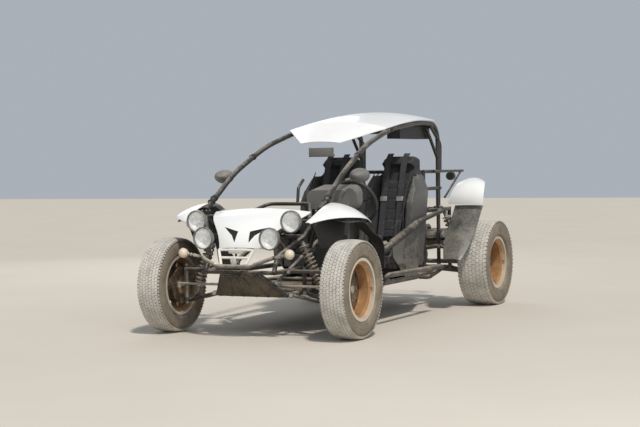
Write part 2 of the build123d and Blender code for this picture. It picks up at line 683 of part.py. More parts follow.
# Rear hubs and the drive shafts between them and the gearbox
hub_x = rear_track / 2 - disc_inset - 40 - 6
with BuildPart() as rear_hubs:
    for side in (1, -1):
        with BuildSketch(Plane(origin=place(hub_x - 36, wheelbase, rear_tyre_radius, side),
                               x_dir=(0, 1, 0), z_dir=(side, 0, 0))) as block:
            RectangleRounded(96, 190, 20)
            Circle(hub_bore + 8, mode=Mode.SUBTRACT)
        extrude(block.sketch, amount=36)
save(rear_hubs.part, "rear_hubs")
for label, side in (("left", 1), ("right", -1)):
    with BuildPart() as shaft:
        rod(place(132, wheelbase, rear_tyre_radius, side),
            place(rear_track / 2 - disc_inset, wheelbase, rear_tyre_radius, side), hub_bore - running_gap)
    save(shaft.part, f"drive_shaft_{label}")

# Engine and gearbox on the rear crossmembers: crankcase, finned cylinder, belt case, fan and air filter
engine_low = floor_z + cross_tube + seat_gap
engine_behind = wheelbase - 220
case_half = 115
case_top = 465
gearbox_top = 425
fin_count = 7
fin_pitch = 12
head_low = case_top + fin_count * fin_pitch
silencer_radius = 76
with BuildPart() as engine:
    with Locations(place(0, engine_behind, (engine_low + case_top) / 2)):
        Box(300, 2 * case_half, case_top - engine_low)
    with Locations(place(0, wheelbase, (engine_low + gearbox_top) / 2)):
        Box(250, 250, gearbox_top - engine_low)
    with BuildSketch(Plane.YZ.offset(140)) as belt_case:
        with Locations((front_axle_y + engine_behind + 20, 368)):
            SlotOverall(300, 150)
    extrude(belt_case.sketch, amount=75)
    rod(place(-140, engine_behind, 368), place(-205, engine_behind, 368), 88)
    rod(place(-30, engine_behind, case_top - 5), place(-30, engine_behind, head_low + 20), 44)
    for k in range(fin_count):
        with Locations(place(-30, engine_behind, case_top + (k + 0.75) * fin_pitch)):
            Box(138, 138, 4)
    with Locations(place(-30, engine_behind, head_low + 26)):
        Box(118, 118, 42)
    rod(place(-130, engine_behind - 40, 530), place(-250, engine_behind - 40, 530), 52)
    rod(place(-30, engine_behind - 40, 520), place(-140, engine_behind - 40, 530), 20)
save(engine.part, "engine")
silencer_behind = tower_end + cross_tube + seat_gap + silencer_radius
port_z = case_top - 22
header = [(110, engine_behind + case_half + seat_gap, port_z), (110, wheelbase - 45, port_z), (110, wheelbase + 20, 566),
          (110, silencer_behind, 566), (110, silencer_behind, 500)]
with BuildPart() as exhaust:
    rod(place(-250, silencer_behind, silencer_z), place(250, silencer_behind, silencer_z), silencer_radius)
    tube([place(*p) for p in header], 16, 30)
    rod(place(-200, silencer_behind, silencer_z), place(-200, silencer_behind + 110, silencer_z), 20)
save(exhaust.part, "exhaust")

# Rear rack over the engine bay
rack_rear = overall_length - front_overhang - light_tube
rack_bars = 4
rack_x = tower_x + 2 + main_tube + light_tube + seat_gap
with BuildPart() as rack:
    for side in (1, -1):
        rod(place(rack_x, tower_rear - 155, ring_z, side), place(rack_x, rack_rear + light_tube, ring_z, side), light_tube)
        rod(place(rack_x, rack_rear - 25, ring_z, side), place(rack_x, tower_rear + 60, 790, side), thin_tube)
    for k in range(rack_bars):
        behind = tower_rear + 85 + k * (rack_rear - tower_rear - 85) / (rack_bars - 1)
        rod(place(-rack_x, behind, ring_z), place(rack_x, behind, ring_z), thin_tube)
save(rack.part, "rear_rack")
tail_radius = 32
with BuildPart() as tail_lamps:
    for side in (1, -1):
        low_z = ring_z - thin_tube - seat_gap - tail_radius
        rod(place(250, rack_rear - 33, low_z, side), place(250, overall_length - front_overhang - 2, low_z, side), tail_radius)
save(tail_lamps.part, "tail_lamps")

# Seats: buckets with raised side bolsters, shoulders that narrow to the headrest, and a narrow base
# Side outlines as distance behind the seat's back and z; the front outline as distance from the middle and z
seat_x = 235
seat_half = 200
base_half = 140
bolster = 58
seat_behind = tower_front - 140
seat_base = [(-640, engine_low), (-640, 330), (-150, 330), (-150, engine_low)]
seat_side = [(-665, 325), (-678, 420), (-650, 462), (-420, 480), (-388, 780), (-200, 1040), (-110, 1112),
             (-28, 1112), (0, 1070), (-55, 700), (-122, 440), (-150, 325)]
seat_hollow = [(-690, 430), (-590, 415), (-350, 400), (-290, 440), (-230, 700), (-122, 1020), (-190, 1060),
               (-410, 900), (-450, 500), (-690, 500)]
seat_front = [(-200, 320), (-200, 860), (-165, 950), (-128, 1010), (-118, 1090), (-88, 1112), (88, 1112),
              (118, 1090), (128, 1010), (165, 950), (200, 860), (200, 320)]
for label, side in (("left", 1), ("right", -1)):
    middle = side * seat_x
    with BuildPart() as seat:
        with BuildSketch(Plane.YZ.offset(middle - seat_half)) as profile:
            Polygon(*[(front_axle_y + seat_behind + back, z) for back, z in seat_side], align=None)
        extrude(profile.sketch, amount=2 * seat_half)
        with BuildSketch(Plane.XZ.offset(-front_axle_y - seat_behind - 110)) as face:
            with Locations((middle, 0)):
                Polygon(*seat_front, align=None)
        extrude(face.sketch, amount=900, mode=Mode.INTERSECT)
        with BuildSketch(Plane.YZ.offset(middle - seat_half + bolster)) as hollow:
            Polygon(*[(front_axle_y + seat_behind + back, z) for back, z in seat_hollow], align=None)
        extrude(hollow.sketch, amount=2 * (seat_half - bolster), mode=Mode.SUBTRACT)
        with BuildSketch(Plane.YZ.offset(middle - base_half)) as base:
            Polygon(*[(front_axle_y + seat_behind + back, z) for back, z in seat_base], align=None)
        extrude(base.sketch, amount=2 * base_half)
    save(seat.part, f"seat_{label}")

# Door mirrors, which taper forward from their glass, and the centre mirror
# Columns: distance behind the front axle, half width, half height
mirror_rows = [(358, 10, 7), (385, 42, 28), (420, 62, 44), (452, 64, 46)]
with BuildPart() as mirrors:
    for side in (1, -1):
        ovals = []
        for behind, half_width, half_height in mirror_rows:
            plane = Plane(origin=place(490, behind, 978, side), x_dir=(1, 0, 0), z_dir=(0, 1, 0))
            with BuildSketch(plane) as oval:
                Ellipse(half_width, half_height)
            ovals.append(oval.sketch)
        loft(ovals)
        rod(place(421, 372, 950, side), place(470, 415, 965, side), 8)
    with Locations(place(20, 850, 1130)):
        Box(170, 30, 60)
save(mirrors.part, "mirrors")

# Overhead box under the roof's rear left corner, and the driver's controls
with BuildPart() as box:
    box_half = 275
    with Locations(place(240, hoop_crossing - side_tube - seat_gap - box_half, 1268)):
        Box(100, 2 * box_half, 90)
save(box.part, "overhead_box")
with BuildPart() as controls:
    lever = floor_z + frame_tube + seat_gap
    rod(place(0, 1020, lever), place(0, 1000, 560), 9)
    with Locations(place(0, 1000, 575)):
        Sphere(24)
    for x in (170, 250, 330):
        rod(place(x, 430, floor_z + 10), place(x, 470, 420), 7)
save(controls.part, "driver_controls")
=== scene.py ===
import bpy
from math import atan2, cos, pi, radians, sin
from mathutils import Matrix, Vector


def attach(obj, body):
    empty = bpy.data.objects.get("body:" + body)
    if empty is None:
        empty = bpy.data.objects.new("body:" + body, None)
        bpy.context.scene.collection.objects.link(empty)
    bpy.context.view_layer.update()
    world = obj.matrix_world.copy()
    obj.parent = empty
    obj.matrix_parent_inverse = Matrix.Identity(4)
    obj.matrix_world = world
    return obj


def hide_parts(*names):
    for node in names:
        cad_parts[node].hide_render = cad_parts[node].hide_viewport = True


# Dune buggy, in metres: the front faces -Y, its left side is +X, +Z is up, the ground is at Z 0
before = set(bpy.data.objects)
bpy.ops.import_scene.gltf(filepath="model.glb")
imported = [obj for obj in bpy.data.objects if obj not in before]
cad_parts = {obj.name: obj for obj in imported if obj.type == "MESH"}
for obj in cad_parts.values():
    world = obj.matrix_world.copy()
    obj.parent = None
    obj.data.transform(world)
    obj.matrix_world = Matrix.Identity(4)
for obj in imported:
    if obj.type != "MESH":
        bpy.data.objects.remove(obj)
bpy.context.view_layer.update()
nodes = {node: bpy.data.objects[node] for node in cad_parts}
FRONT_AXLE = -1.160
FRONT_WHEEL = Vector((0.630, FRONT_AXLE, 0.300))
REAR_WHEEL = Vector((0.655, 1.120, 0.313))
WHEELBASE = 2.280
REAR_TALLER = 0.013
X, Y, Z = (Vector(axis) for axis in ((1, 0, 0), (0, 1, 0), (0, 0, 1)))


def at(x, behind, z, side=1):
    """A point by its distance behind the front axle, on the left (1) or the right (-1)."""
    return Vector((side * x, FRONT_AXLE + behind, z))


# Modelling helpers: each shape is made as one would by hand, and stays selected
def deselect():
    bpy.ops.object.select_all(action="DESELECT")


def take(*objects):
    deselect()
    for item in objects:
        item.select_set(True)
    bpy.context.view_layer.objects.active = objects[0]
    return objects[0]


def settle():
    """Puts the active object's place and turn into its mesh."""
    item = take(bpy.context.object)
    bpy.ops.object.transform_apply(location=True, rotation=True, scale=True)
    return item


def edit():
    """Edit mode on the active object, with all of it selected."""
    bpy.ops.object.mode_set(mode="EDIT")
    bpy.ops.mesh.select_all(action="SELECT")


def modify(item, kind, **settings):
    """Applies one modifier to the item."""
    take(item)
    modifier = item.modifiers.new(kind, kind)
    for key, given in settings.items():
        setattr(modifier, key, given)
    bpy.ops.object.modifier_apply(modifier=modifier.name)
    return item


def turned(direction):
    return Vector(direction).to_track_quat("Z", "Y").to_euler()


def box(centre, size, bevel=0.0, turn=(0, 0, 0)):
    deselect()
    bpy.ops.mesh.primitive_cube_add(size=1, location=centre, rotation=turn)
    bpy.context.object.scale = size
    item = settle()
    if bevel:
        round_edges(item, bevel)
    return item


def round_edges(item, width, segments=2, angle=0.6):
    return modify(item, "BEVEL", width=width, segments=segments, limit_method="ANGLE", angle_limit=angle)


def drum(start, end, radius, sides=24, bevel=0.0):
    """A cylinder from one point to another."""
    start, end = Vector(start), Vector(end)
    deselect()
    bpy.ops.mesh.primitive_cylinder_add(vertices=sides, radius=radius, depth=(end - start).length,
                                        location=(start + end) / 2, rotation=turned(end - start))
    item = settle()
    if bevel:
        round_edges(item, bevel, 2, 1.0)
    return item


def ball(centre, radius, size=(1, 1, 1)):
    deselect()
    bpy.ops.mesh.primitive_uv_sphere_add(segments=32, ring_count=16, radius=radius, location=centre)
    bpy.context.object.scale = size
    return settle()


def hoop(centre, direction, radius, thickness, major=48, minor=10):
    deselect()
    bpy.ops.mesh.primitive_torus_add(major_radius=radius, minor_radius=thickness, major_segments=major,
                                     minor_segments=minor, location=centre, rotation=turned(direction))
    return settle()


def polyline(points):
    """A chain of edges, drawn by extruding one vertex from point to point."""
    deselect()
    bpy.ops.mesh.primitive_plane_add(size=0.01)
    edit()
    bpy.ops.mesh.merge(type="CENTER")
    bpy.ops.transform.translate(value=points[0])
    for here, there in zip(points, points[1:]):
        bpy.ops.mesh.extrude_vertices_move(TRANSFORM_OT_translate={"value": Vector(there) - Vector(here)})
    bpy.ops.mesh.select_all(action="SELECT")
    bpy.ops.object.mode_set(mode="OBJECT")
    return bpy.context.object


def lathe(outline, centre, axis, across, steps=48):
    """Spins an outline given as (along the axis, radius) pairs."""
    axis, across = Vector(axis).normalized(), Vector(across).normalized()
    item = polyline([Vector(centre) + axis * u + across * r for u, r in outline])
    edit()
    bpy.ops.mesh.spin(steps=steps, angle=2 * pi, center=centre, axis=axis)
    bpy.ops.mesh.select_all(action="SELECT")
    bpy.ops.mesh.remove_doubles(threshold=0.00001)
    bpy.ops.mesh.normals_make_consistent(inside=False)
    bpy.ops.object.mode_set(mode="OBJECT")
    return item


def hose(points, radius, smooth=True, sides=4):
    """A round or bent bar along points, turned into a mesh."""
    curve = bpy.data.curves.new("hose", "CURVE")
    curve.dimensions = "3D"
    spline = curve.splines.new("NURBS" if smooth else "POLY")
    spline.points.add(len(points) - 1)
    for point, place in zip(spline.points, points):
        point.co = (*place, 1)
    if smooth:
        spline.order_u = 3
        spline.use_endpoint_u = True
        spline.resolution_u = 6
    curve.bevel_depth, curve.bevel_resolution, curve.use_fill_caps = radius, sides, True
    item = bpy.data.objects.new("hose", curve)
    bpy.context.collection.objects.link(item)
    take(item)
    bpy.ops.object.convert(target="MESH")
    return bpy.context.object


def copies(item, count, step):
    """The item and its copies, each moved on by one more step of a matrix."""
    made = [item]
    for index in range(1, count):
        twin = item.copy()
        twin.data = item.data.copy()
        bpy.context.collection.objects.link(twin)
        twin.data.transform(step(index))
        made.append(twin)
    return made


def about(centre, axis, angle):
    """The matrix of a turn about a line through the centre."""
    turn = Matrix.Rotation(angle, 4, Vector(axis))
    return Matrix.Translation(centre) @ turn @ Matrix.Translation(-Vector(centre))


def ring_of(item, count, centre, axis):
    return copies(item, count, lambda index: about(centre, axis, 2 * pi * index / count))


def finish_piece(name, items, body, slot, *materials, hides=(), smooth=0.6):
    """Joins items into one named piece that rides on a body."""
    whole = take(*items)
    if len(items) > 1:
        bpy.ops.object.join()
    whole.name = whole.data.name = name
    if materials:
        whole.data.materials.clear()
        for each in materials:
            whole.data.materials.append(each)
    if smooth:
        bpy.ops.object.shade_smooth_by_angle(angle=smooth)
    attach(whole, body)
    if hides:
        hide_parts(*hides)
    return whole


def hex_bolt(place, direction, radius=0.006, height=0.005):
    """A hexagon head on a washer, whose base is at the place."""
    place, direction = Vector(place), Vector(direction).normalized()
    washer = drum(place, place + direction * height * 0.3, radius * 1.35, 12)
    head = drum(place + direction * height * 0.3, place + direction * height * 1.3, radius, 6)
    return [washer, head]


# Shader values that can be added and multiplied
class Value:
    def __init__(self, tree, socket):
        self.tree, self.socket = tree, socket

    def math(self, operation, *operands):
        node = self.tree.nodes.new("ShaderNodeMath")
        node.operation = operation
        for slot_in, operand in zip(node.inputs, operands):
            if isinstance(operand, Value):
                self.tree.links.new(operand.socket, slot_in)
            else:
                slot_in.default_value = operand
        return Value(self.tree, node.outputs[0])

    def __add__(self, other):
        return self.math("ADD", self, other)

    def __radd__(self, other):
        return self.math("ADD", other, self)

    def __sub__(self, other):
        return self.math("SUBTRACT", self, other)

    def __rsub__(self, other):
        return self.math("SUBTRACT", other, self)

    def __mul__(self, other):
        return self.math("MULTIPLY", self, other)

    def __rmul__(self, other):
        return self.math("MULTIPLY", other, self)

    def __truediv__(self, other):
        return self.math("DIVIDE", self, other)

    def limited(self):
        return self.math("MINIMUM", self.math("MAXIMUM", self, 0.0), 1.0)

    def ramp(self, start, end):
        """0 below start, 1 above end."""
        return ((self - start) / (end - start)).limited()


class Surface:
    """A material whose look is built from plain shader values."""

    def __init__(self, name):
        self.material = bpy.data.materials.new(name)
        self.material.use_nodes = True
        self.tree = self.material.node_tree
        self.shader = self.tree.nodes["Principled BSDF"]
        self.place = self.node("ShaderNodeTexCoord").outputs["Object"]

    def node(self, kind, **inputs):
        made = self.tree.nodes.new(kind)
        for key, given in inputs.items():
            self.feed(made.inputs[key.replace("_", " ")], given)
        return made

    def feed(self, socket, given):
        if isinstance(given, Value):
            self.tree.links.new(given.socket, socket)
        elif isinstance(given, bpy.types.NodeSocket):
            self.tree.links.new(given, socket)
        else:
            socket.default_value = given

    def noise(self, scale, detail=3.0):
        return Value(self.tree, self.node("ShaderNodeTexNoise", Vector=self.place, Scale=scale, Detail=detail,
                                          Roughness=0.6).outputs[0])

    def axes(self):
        """The place's X, Y and Z as values."""
        split = self.node("ShaderNodeSeparateXYZ", Vector=self.place).outputs
        return [Value(self.tree, split[axis]) for axis in range(3)]

    def height(self):
        return self.axes()[2]

    def wheel_radius(self):
        """Distance from the nearest axle, and 1 on the rear wheels or 0 on the front ones."""
        _, y, z = self.axes()
        rear = y.math("GREATER_THAN", y, 0.0)
        along = y - (rear * WHEELBASE + FRONT_AXLE)
        rise = z - (rear * REAR_TALLER + FRONT_WHEEL.z)
        return y.math("SQRT", along * along + rise * rise), rear

    def facing_up(self):
        return self.facing(2)

    def facing(self, axis):
        """How far the surface looks along an axis: 0 for X, 1 for Y, 2 for Z."""
        normal = self.node("ShaderNodeNewGeometry").outputs["Normal"]
        return Value(self.tree, self.node("ShaderNodeSeparateXYZ", Vector=normal).outputs[axis])

    def mix(self, factor, first, second):
        made = self.tree.nodes.new("ShaderNodeMix")
        made.data_type = "RGBA"
        self.feed(made.inputs[0], factor)
        for socket, colour in ((made.inputs[6], first), (made.inputs[7], second)):
            if isinstance(colour, tuple):
                socket.default_value = (*colour, 1.0)
            else:
                self.tree.links.new(colour, socket)
        return made.outputs[2]

    def bump(self, value, strength=0.2, distance=0.002):
        made = self.node("ShaderNodeBump", Height=value, Strength=strength, Distance=distance)
        self.tree.links.new(made.outputs[0], self.shader.inputs["Normal"])

    def set(self, **inputs):
        for key, given in inputs.items():
            self.feed(self.shader.inputs[key.replace("_", " ")], given)
        return self


DUST = (0.47, 0.40, 0.30)
PALE_DUST = (0.68, 0.60, 0.48)


def plain(name, colour, **inputs):
    """A clean surface of one colour."""
    return Surface(name).set(Base_Color=(*colour, 1.0), **inputs).material


def dusty(name, base, rough=0.5, metal=0.0, dust=0.5, up=0.35, low_dust=0.5, grain=900.0, bump=0.15, coat=0.0,
          dirt=DUST, spots=None):
    """Paint, plastic or metal under dust that lies on upward faces and near the ground."""
    look = Surface(name)
    cloud = look.noise(7.0, 5.0)
    speck = look.noise(60.0, 4.0)
    lift = look.facing_up().ramp(0.1, 0.95) * up
    ground = (1.0 - look.height().ramp(0.15, 0.75)) * low_dust
    veil = ((cloud - 0.5) * 1.3 + (speck - 0.5) * 0.8 + lift + ground + (dust - 0.45)).limited() * 0.92
    darker, lighter = tuple(0.86 * c for c in base), tuple(min(1.12 * c, 1.0) for c in base)
    shade = look.mix(look.noise(3.0, 2.0), darker, lighter)
    if spots:
        shade = look.mix(look.noise(25.0, 6.0).ramp(0.62, 0.68), shade, spots)
    colour = look.mix(veil, shade, dirt)
    look.tree.links.new(colour, look.shader.inputs["Base Color"])
    look.set(Roughness=(rough + veil * (0.92 - rough)).limited(), Metallic=(metal * (1.0 - veil)))
    if coat:
        look.set(Coat_Weight=coat * (1.0 - veil))
    look.bump(look.noise(grain, 2.0) + look.noise(35.0, 3.0) * 0.5, bump)
    return look.material


BLACK_TUBE = dusty("black_tube", (0.030, 0.029, 0.027), 0.36, dust=0.24, up=0.50, low_dust=0.34,
                   spots=(0.09, 0.05, 0.03))
PADDING = dusty("padding", (0.030, 0.030, 0.030), 0.75, dust=0.34, up=0.30, low_dust=0.15, grain=500.0,
                bump=0.4)
WHITE = dusty("white_panel", (0.80, 0.80, 0.78), 0.28, dust=0.13, up=0.12, low_dust=0.18, coat=0.4,
              dirt=PALE_DUST, bump=0.05)
BLACK_PLASTIC = dusty("black_plastic", (0.022, 0.022, 0.021), 0.48, dust=0.20, up=0.3, low_dust=0.26,
                      grain=1400.0)
GREY_PLASTIC = dusty("grey_plastic", (0.135, 0.132, 0.122), 0.50, dust=0.32, up=0.25, low_dust=0.2,
                     grain=1400.0, bump=0.3)
STEEL = dusty("dull_steel", (0.26, 0.24, 0.215), 0.45, 0.85, dust=0.42, up=0.4, low_dust=0.35,
              spots=(0.22, 0.10, 0.05))
PLATE = dusty("skid_steel", (0.060, 0.050, 0.038), 0.5, 0.4, dust=0.36, up=0.4, low_dust=0.30,
              spots=(0.10, 0.05, 0.02), dirt=(0.26, 0.205, 0.135))
SPRING = dusty("spring_steel", (0.10, 0.085, 0.07), 0.5, 0.3, dust=0.60, up=0.4, low_dust=0.3)
ALUMINIUM = dusty("bare_aluminium", (0.55, 0.54, 0.52), 0.42, 0.9, dust=0.40, up=0.35, low_dust=0.3)
ENGINE = dusty("cast_engine", (0.13, 0.13, 0.125), 0.55, 0.5, dust=0.40, up=0.35, low_dust=0.3,
               spots=(0.03, 0.025, 0.02))
BOLT = dusty("bolt_steel", (0.45, 0.43, 0.40), 0.4, 0.9, dust=0.42, up=0.3, low_dust=0.3)
CLOTH = dusty("seat_cloth", (0.026, 0.026, 0.028), 0.85, dust=0.24, up=0.15, low_dust=0.1, grain=2200.0,
              bump=0.5)
VINYL = dusty("seat_vinyl", (0.075, 0.073, 0.069), 0.36, dust=0.30, up=0.2, low_dust=0.1, grain=1200.0,
              bump=0.3)
WEBBING = dusty("webbing", (0.03, 0.03, 0.035), 0.8, dust=0.28, up=0.15, low_dust=0.1, grain=1800.0,
                bump=0.5)
GRIP = dusty("black_grip", (0.03, 0.03, 0.03), 0.6, dust=0.32, up=0.2, low_dust=0.1, grain=1000.0, bump=0.4)
GUARD = dusty("guard_plastic", (0.050, 0.049, 0.045), 0.30, dust=0.40, up=0.25, low_dust=0.32,
              grain=1400.0, coat=0.3, dirt=(0.34, 0.31, 0.25))
PANEL = dusty("panel_plastic", (0.030, 0.030, 0.029), 0.22, dust=0.30, up=0.20, low_dust=0.45,
              grain=1400.0, bump=0.05, coat=0.6, dirt=(0.42, 0.36, 0.27))
BEZEL = dusty("lamp_bezel", (0.13, 0.125, 0.11), 0.35, dust=0.34, up=0.20, low_dust=0.1, grain=1400.0,
              bump=0.1, coat=0.2)
PALE_STEEL = dusty("pale_steel", (0.62, 0.60, 0.56), 0.35, 0.3, dust=0.36, up=0.3, low_dust=0.2,
                   dirt=PALE_DUST)
CHROME = plain("chrome", (0.86, 0.86, 0.85), Metallic=1.0, Roughness=0.12)
REFLECTOR = plain("lamp_reflector", (0.95, 0.95, 0.93), Metallic=0.35, Roughness=0.30)
RED_LENS = plain("red_lens", (0.42, 0.01, 0.01), Roughness=0.15, Coat_Weight=0.6)
AMBER_LENS = dusty("signal_lens", (0.62, 0.52, 0.40), 0.3, dust=0.25, up=0.2, low_dust=0.1, dirt=PALE_DUST)
MIRROR = plain("mirror_glass", (0.75, 0.78, 0.80), Metallic=1.0, Roughness=0.05)
# Near-black painted shade, for hollows that are seen only in shadow
SHADE_BLACK = plain("painted_shade_inside", (0.012, 0.012, 0.012), Roughness=0.9)
DIAL = plain("dial_face", (0.85, 0.85, 0.82), Roughness=0.5)


def glass(name):
    """Clear glass under a thin, uneven veil of dust."""
    look = Surface(name)
    veil = (look.noise(30.0, 5.0) - 0.45 + 0.02).limited()
    look.tree.links.new(look.mix(veil, (0.90, 0.92, 0.93), PALE_DUST), look.shader.inputs["Base Color"])
    look.set(Alpha=(veil * 0.35 + 0.10).limited(), Roughness=(veil * 0.5 + 0.06).limited(), IOR=1.45,
             Coat_Weight=0.5)
    look.material.surface_render_method = "BLENDED"
    return look.material


GLASS = glass("clear_glass")


# Looks that change with the place on the wheels, the bull bar and the nose
def rubber(name):
    """Worn rubber: pale dust ground into the tread, and brown walls with the dark showing through."""
    look = Surface(name)
    radius, rear = look.wheel_radius()
    tread = (radius - rear * REAR_TALLER).ramp(0.278, 0.2935)
    cloud = look.noise(14.0, 6.0)
    grit = look.noise(160.0, 4.0)
    veil = ((cloud - 0.5) * 1.0 + (grit - 0.5) * 0.6 + tread * 0.30 + 0.58).limited()
    wall = look.mix(look.noise(5.0, 3.0), (0.24, 0.195, 0.135), (0.38, 0.32, 0.24))
    ground = look.mix(look.noise(6.0, 4.0), (0.50, 0.47, 0.415), (0.66, 0.63, 0.575))
    tone = look.mix(tread, wall, ground)
    look.tree.links.new(look.mix(veil * 0.94, (0.050, 0.046, 0.042), tone), look.shader.inputs["Base Color"])
    look.set(Roughness=0.9)
    look.bump(grit + cloud, 0.35, 0.003)
    return look.material


def wheel_paint(name):
    """Rim: a pale worn lip, a rust-brown barrel, a dark disc and a bronze middle, all dusty."""
    look = Surface(name)
    radius, _ = look.wheel_radius()
    lip = radius.ramp(0.1715, 0.1735)
    disc = 1.0 - radius.ramp(0.1420, 0.1500)
    middle = 1.0 - radius.ramp(0.050, 0.062)
    cloud, speck = look.noise(18.0, 5.0), look.noise(90.0, 4.0)
    barrel = look.mix(cloud, (0.30, 0.145, 0.055), (0.52, 0.29, 0.13))
    with_lip = look.mix(lip, barrel, look.mix(speck, (0.58, 0.52, 0.42), (0.80, 0.74, 0.63)))
    worn_black = look.mix(speck.ramp(0.45, 0.75), (0.040, 0.032, 0.026), (0.20, 0.13, 0.075))
    with_disc = look.mix(disc, with_lip, worn_black)
    whole = look.mix(middle, with_disc, look.mix(cloud, (0.26, 0.17, 0.09), (0.50, 0.36, 0.20)))
    veil = ((cloud - 0.5) * 0.9 + (speck - 0.5) * 0.5 + 0.16).limited() * 0.8
    look.tree.links.new(look.mix(veil, whole, (0.52, 0.38, 0.24)), look.shader.inputs["Base Color"])
    look.set(Roughness=(veil * 0.3 + 0.48).limited(), Metallic=(0.55 * (1.0 - veil)))
    look.bump(speck + cloud, 0.2)
    return look.material


def guard_paint(name):
    """Dusty black tube, with the small grille guard's bars worn pale."""
    look = Surface(name)
    x, _, z = look.axes()
    bars = z.ramp(0.4608, 0.4630) * (1.0 - x.math("ABSOLUTE", x).ramp(0.1280, 0.1300))
    cloud, speck = look.noise(9.0, 5.0), look.noise(60.0, 4.0)
    lift = look.facing_up().ramp(0.0, 0.9) * 0.45
    veil = ((cloud - 0.5) * 1.2 + (speck - 0.5) * 0.8 + lift + 0.20).limited() * 0.9
    tube = look.mix(veil, (0.045, 0.042, 0.038), (0.50, 0.44, 0.34))
    pale = look.mix(speck, (0.56, 0.53, 0.47), (0.80, 0.77, 0.70))
    look.tree.links.new(look.mix(bars, tube, pale), look.shader.inputs["Base Color"])
    look.set(Roughness=(veil * 0.45 + 0.42).limited())
    look.bump(look.noise(900.0, 2.0), 0.12)
    return look.material


def nose_paint(name):
    """White panel with a dusty crown, and its inner side painted black as shade, with a little dust over it."""
    look = Surface(name)
    cloud, speck = look.noise(7.0, 5.0), look.noise(60.0, 4.0)
    lift = look.facing_up().ramp(0.2, 1.0) * 0.16
    veil = ((cloud - 0.5) * 1.1 + (speck - 0.5) * 0.6 + lift - 0.18).limited() * 0.8
    white = look.mix(veil, (0.80, 0.80, 0.78), PALE_DUST)
    # Faces that look back into the nose get painted shade: near-black, with some dust mixed in
    shaded_inside = (look.facing(1) - look.facing_up() * 0.8).ramp(0.15, 0.25)
    grime = ((cloud - 0.5) * 1.2 + (speck - 0.5) * 0.8 + 0.12).limited() * 0.8
    black = look.mix(grime, (0.025, 0.024, 0.022), (0.30, 0.26, 0.20))
    look.tree.links.new(look.mix(shaded_inside, white, black), look.shader.inputs["Base Color"])
    look.set(Roughness=(shaded_inside * 0.3 + veil * 0.4 + 0.28).limited(), Coat_Weight=0.4)
    return look.material


TYRE = rubber("tyre_rubber")
NOSE = nose_paint("nose_panel_paint")
RIM = wheel_paint("rim_steel")
BULL = guard_paint("bull_bar_paint")

# Looks of the CAD pieces that stay, by material
LOOKS = {
    BLACK_TUBE: ("floor_frame", "front_frame", "front_bars", "side_rails", "rear_frame", "roll_cage",
                 "side_steps", "front_arms", "rear_arms", "rear_rack"),
    BLACK_PLASTIC: ("foot_panels", "tail_lamps", "front_liners", "overhead_box"),
    WHITE: ("roof_panel", "front_fenders", "rear_fenders"), NOSE: ("nose_panel",), BULL: ("bull_bar",),
    GUARD: ("rear_guards",), PANEL: ("side_panels",), PLATE: ("skid_plate", "floor_pan"),
    GREY_PLASTIC: ("headlamp_shells", "dash_cowl", "mirrors"), GLASS: ("headlamp_lenses",),
    AMBER_LENS: ("turn_signals",), SPRING: ("coil_springs",), ALUMINIUM: ("rack_housing",),
    GRIP: ("steering_wheel",),
    STEEL: ("dampers", "knuckle_left", "knuckle_right", "tie_rods", "steering_column", "rear_hubs",
            "drive_shaft_left", "drive_shaft_right", "exhaust", "driver_controls"),
    ENGINE: ("engine",), CLOTH: ("seat_left", "seat_right"),
    RIM: ("rim_front_left", "rim_front_right", "rim_rear_left", "rim_rear_right"),
    TYRE: ("tyre_front_left", "tyre_front_right", "tyre_rear_left", "tyre_rear_right")}
for look, names in LOOKS.items():
    for node in names:
        nodes[node].data.materials.clear()
        nodes[node].data.materials.append(look)

# Tyres: a spun carcass under worn, closely cut tread blocks
BEAD = 0.1783
# Columns of the rows: distance from the middle, block width, offset round, slant
ROWS_FRONT = [(-0.0595, 0.0185, 0.5, 0.10), (-0.0390, 0.0195, 0.0, 0.45), (-0.0178, 0.0195, 0.5, -0.30),
              (0.0034, 0.0195, 0.0, 0.30), (0.0246, 0.0195, 0.5, -0.45), (0.0455, 0.0190, 0.0, 0.30),
              (0.0640, 0.0150, 0.5, -0.10)]
ROWS_REAR = [(-0.0900, 0.0230, 0.5, 0.12), (-0.0645, 0.0250, 0.0, 0.35), (-0.0375, 0.0260, 0.5, -0.25),
             (-0.0100, 0.0260, 0.0, 0.25), (0.0175, 0.0260, 0.5, -0.25), (0.0450, 0.0260, 0.0, 0.25),
             (0.0715, 0.0240, 0.5, -0.35), (0.0945, 0.0180, 0.0, -0.12)]
# Columns: corner, side, wheel centre, tyre radius, width, rim width, blocks round, block rows
FRONT_TYRE = (FRONT_WHEEL, 0.300, 0.166, 0.140, 84, ROWS_FRONT)
REAR_TYRE = (REAR_WHEEL, 0.313, 0.226, 0.190, 64, ROWS_REAR)
CORNERS = [("front_left", 1, *FRONT_TYRE), ("front_right", -1, *FRONT_TYRE), ("rear_left", 1, *REAR_TYRE),
           ("rear_right", -1, *REAR_TYRE)]


def crown(radius, half, u):
    """The tread's radius at a distance from the middle of the tyre."""
    return radius - 0.005 * min(abs(u) / (half - 0.024), 1.15) ** 2


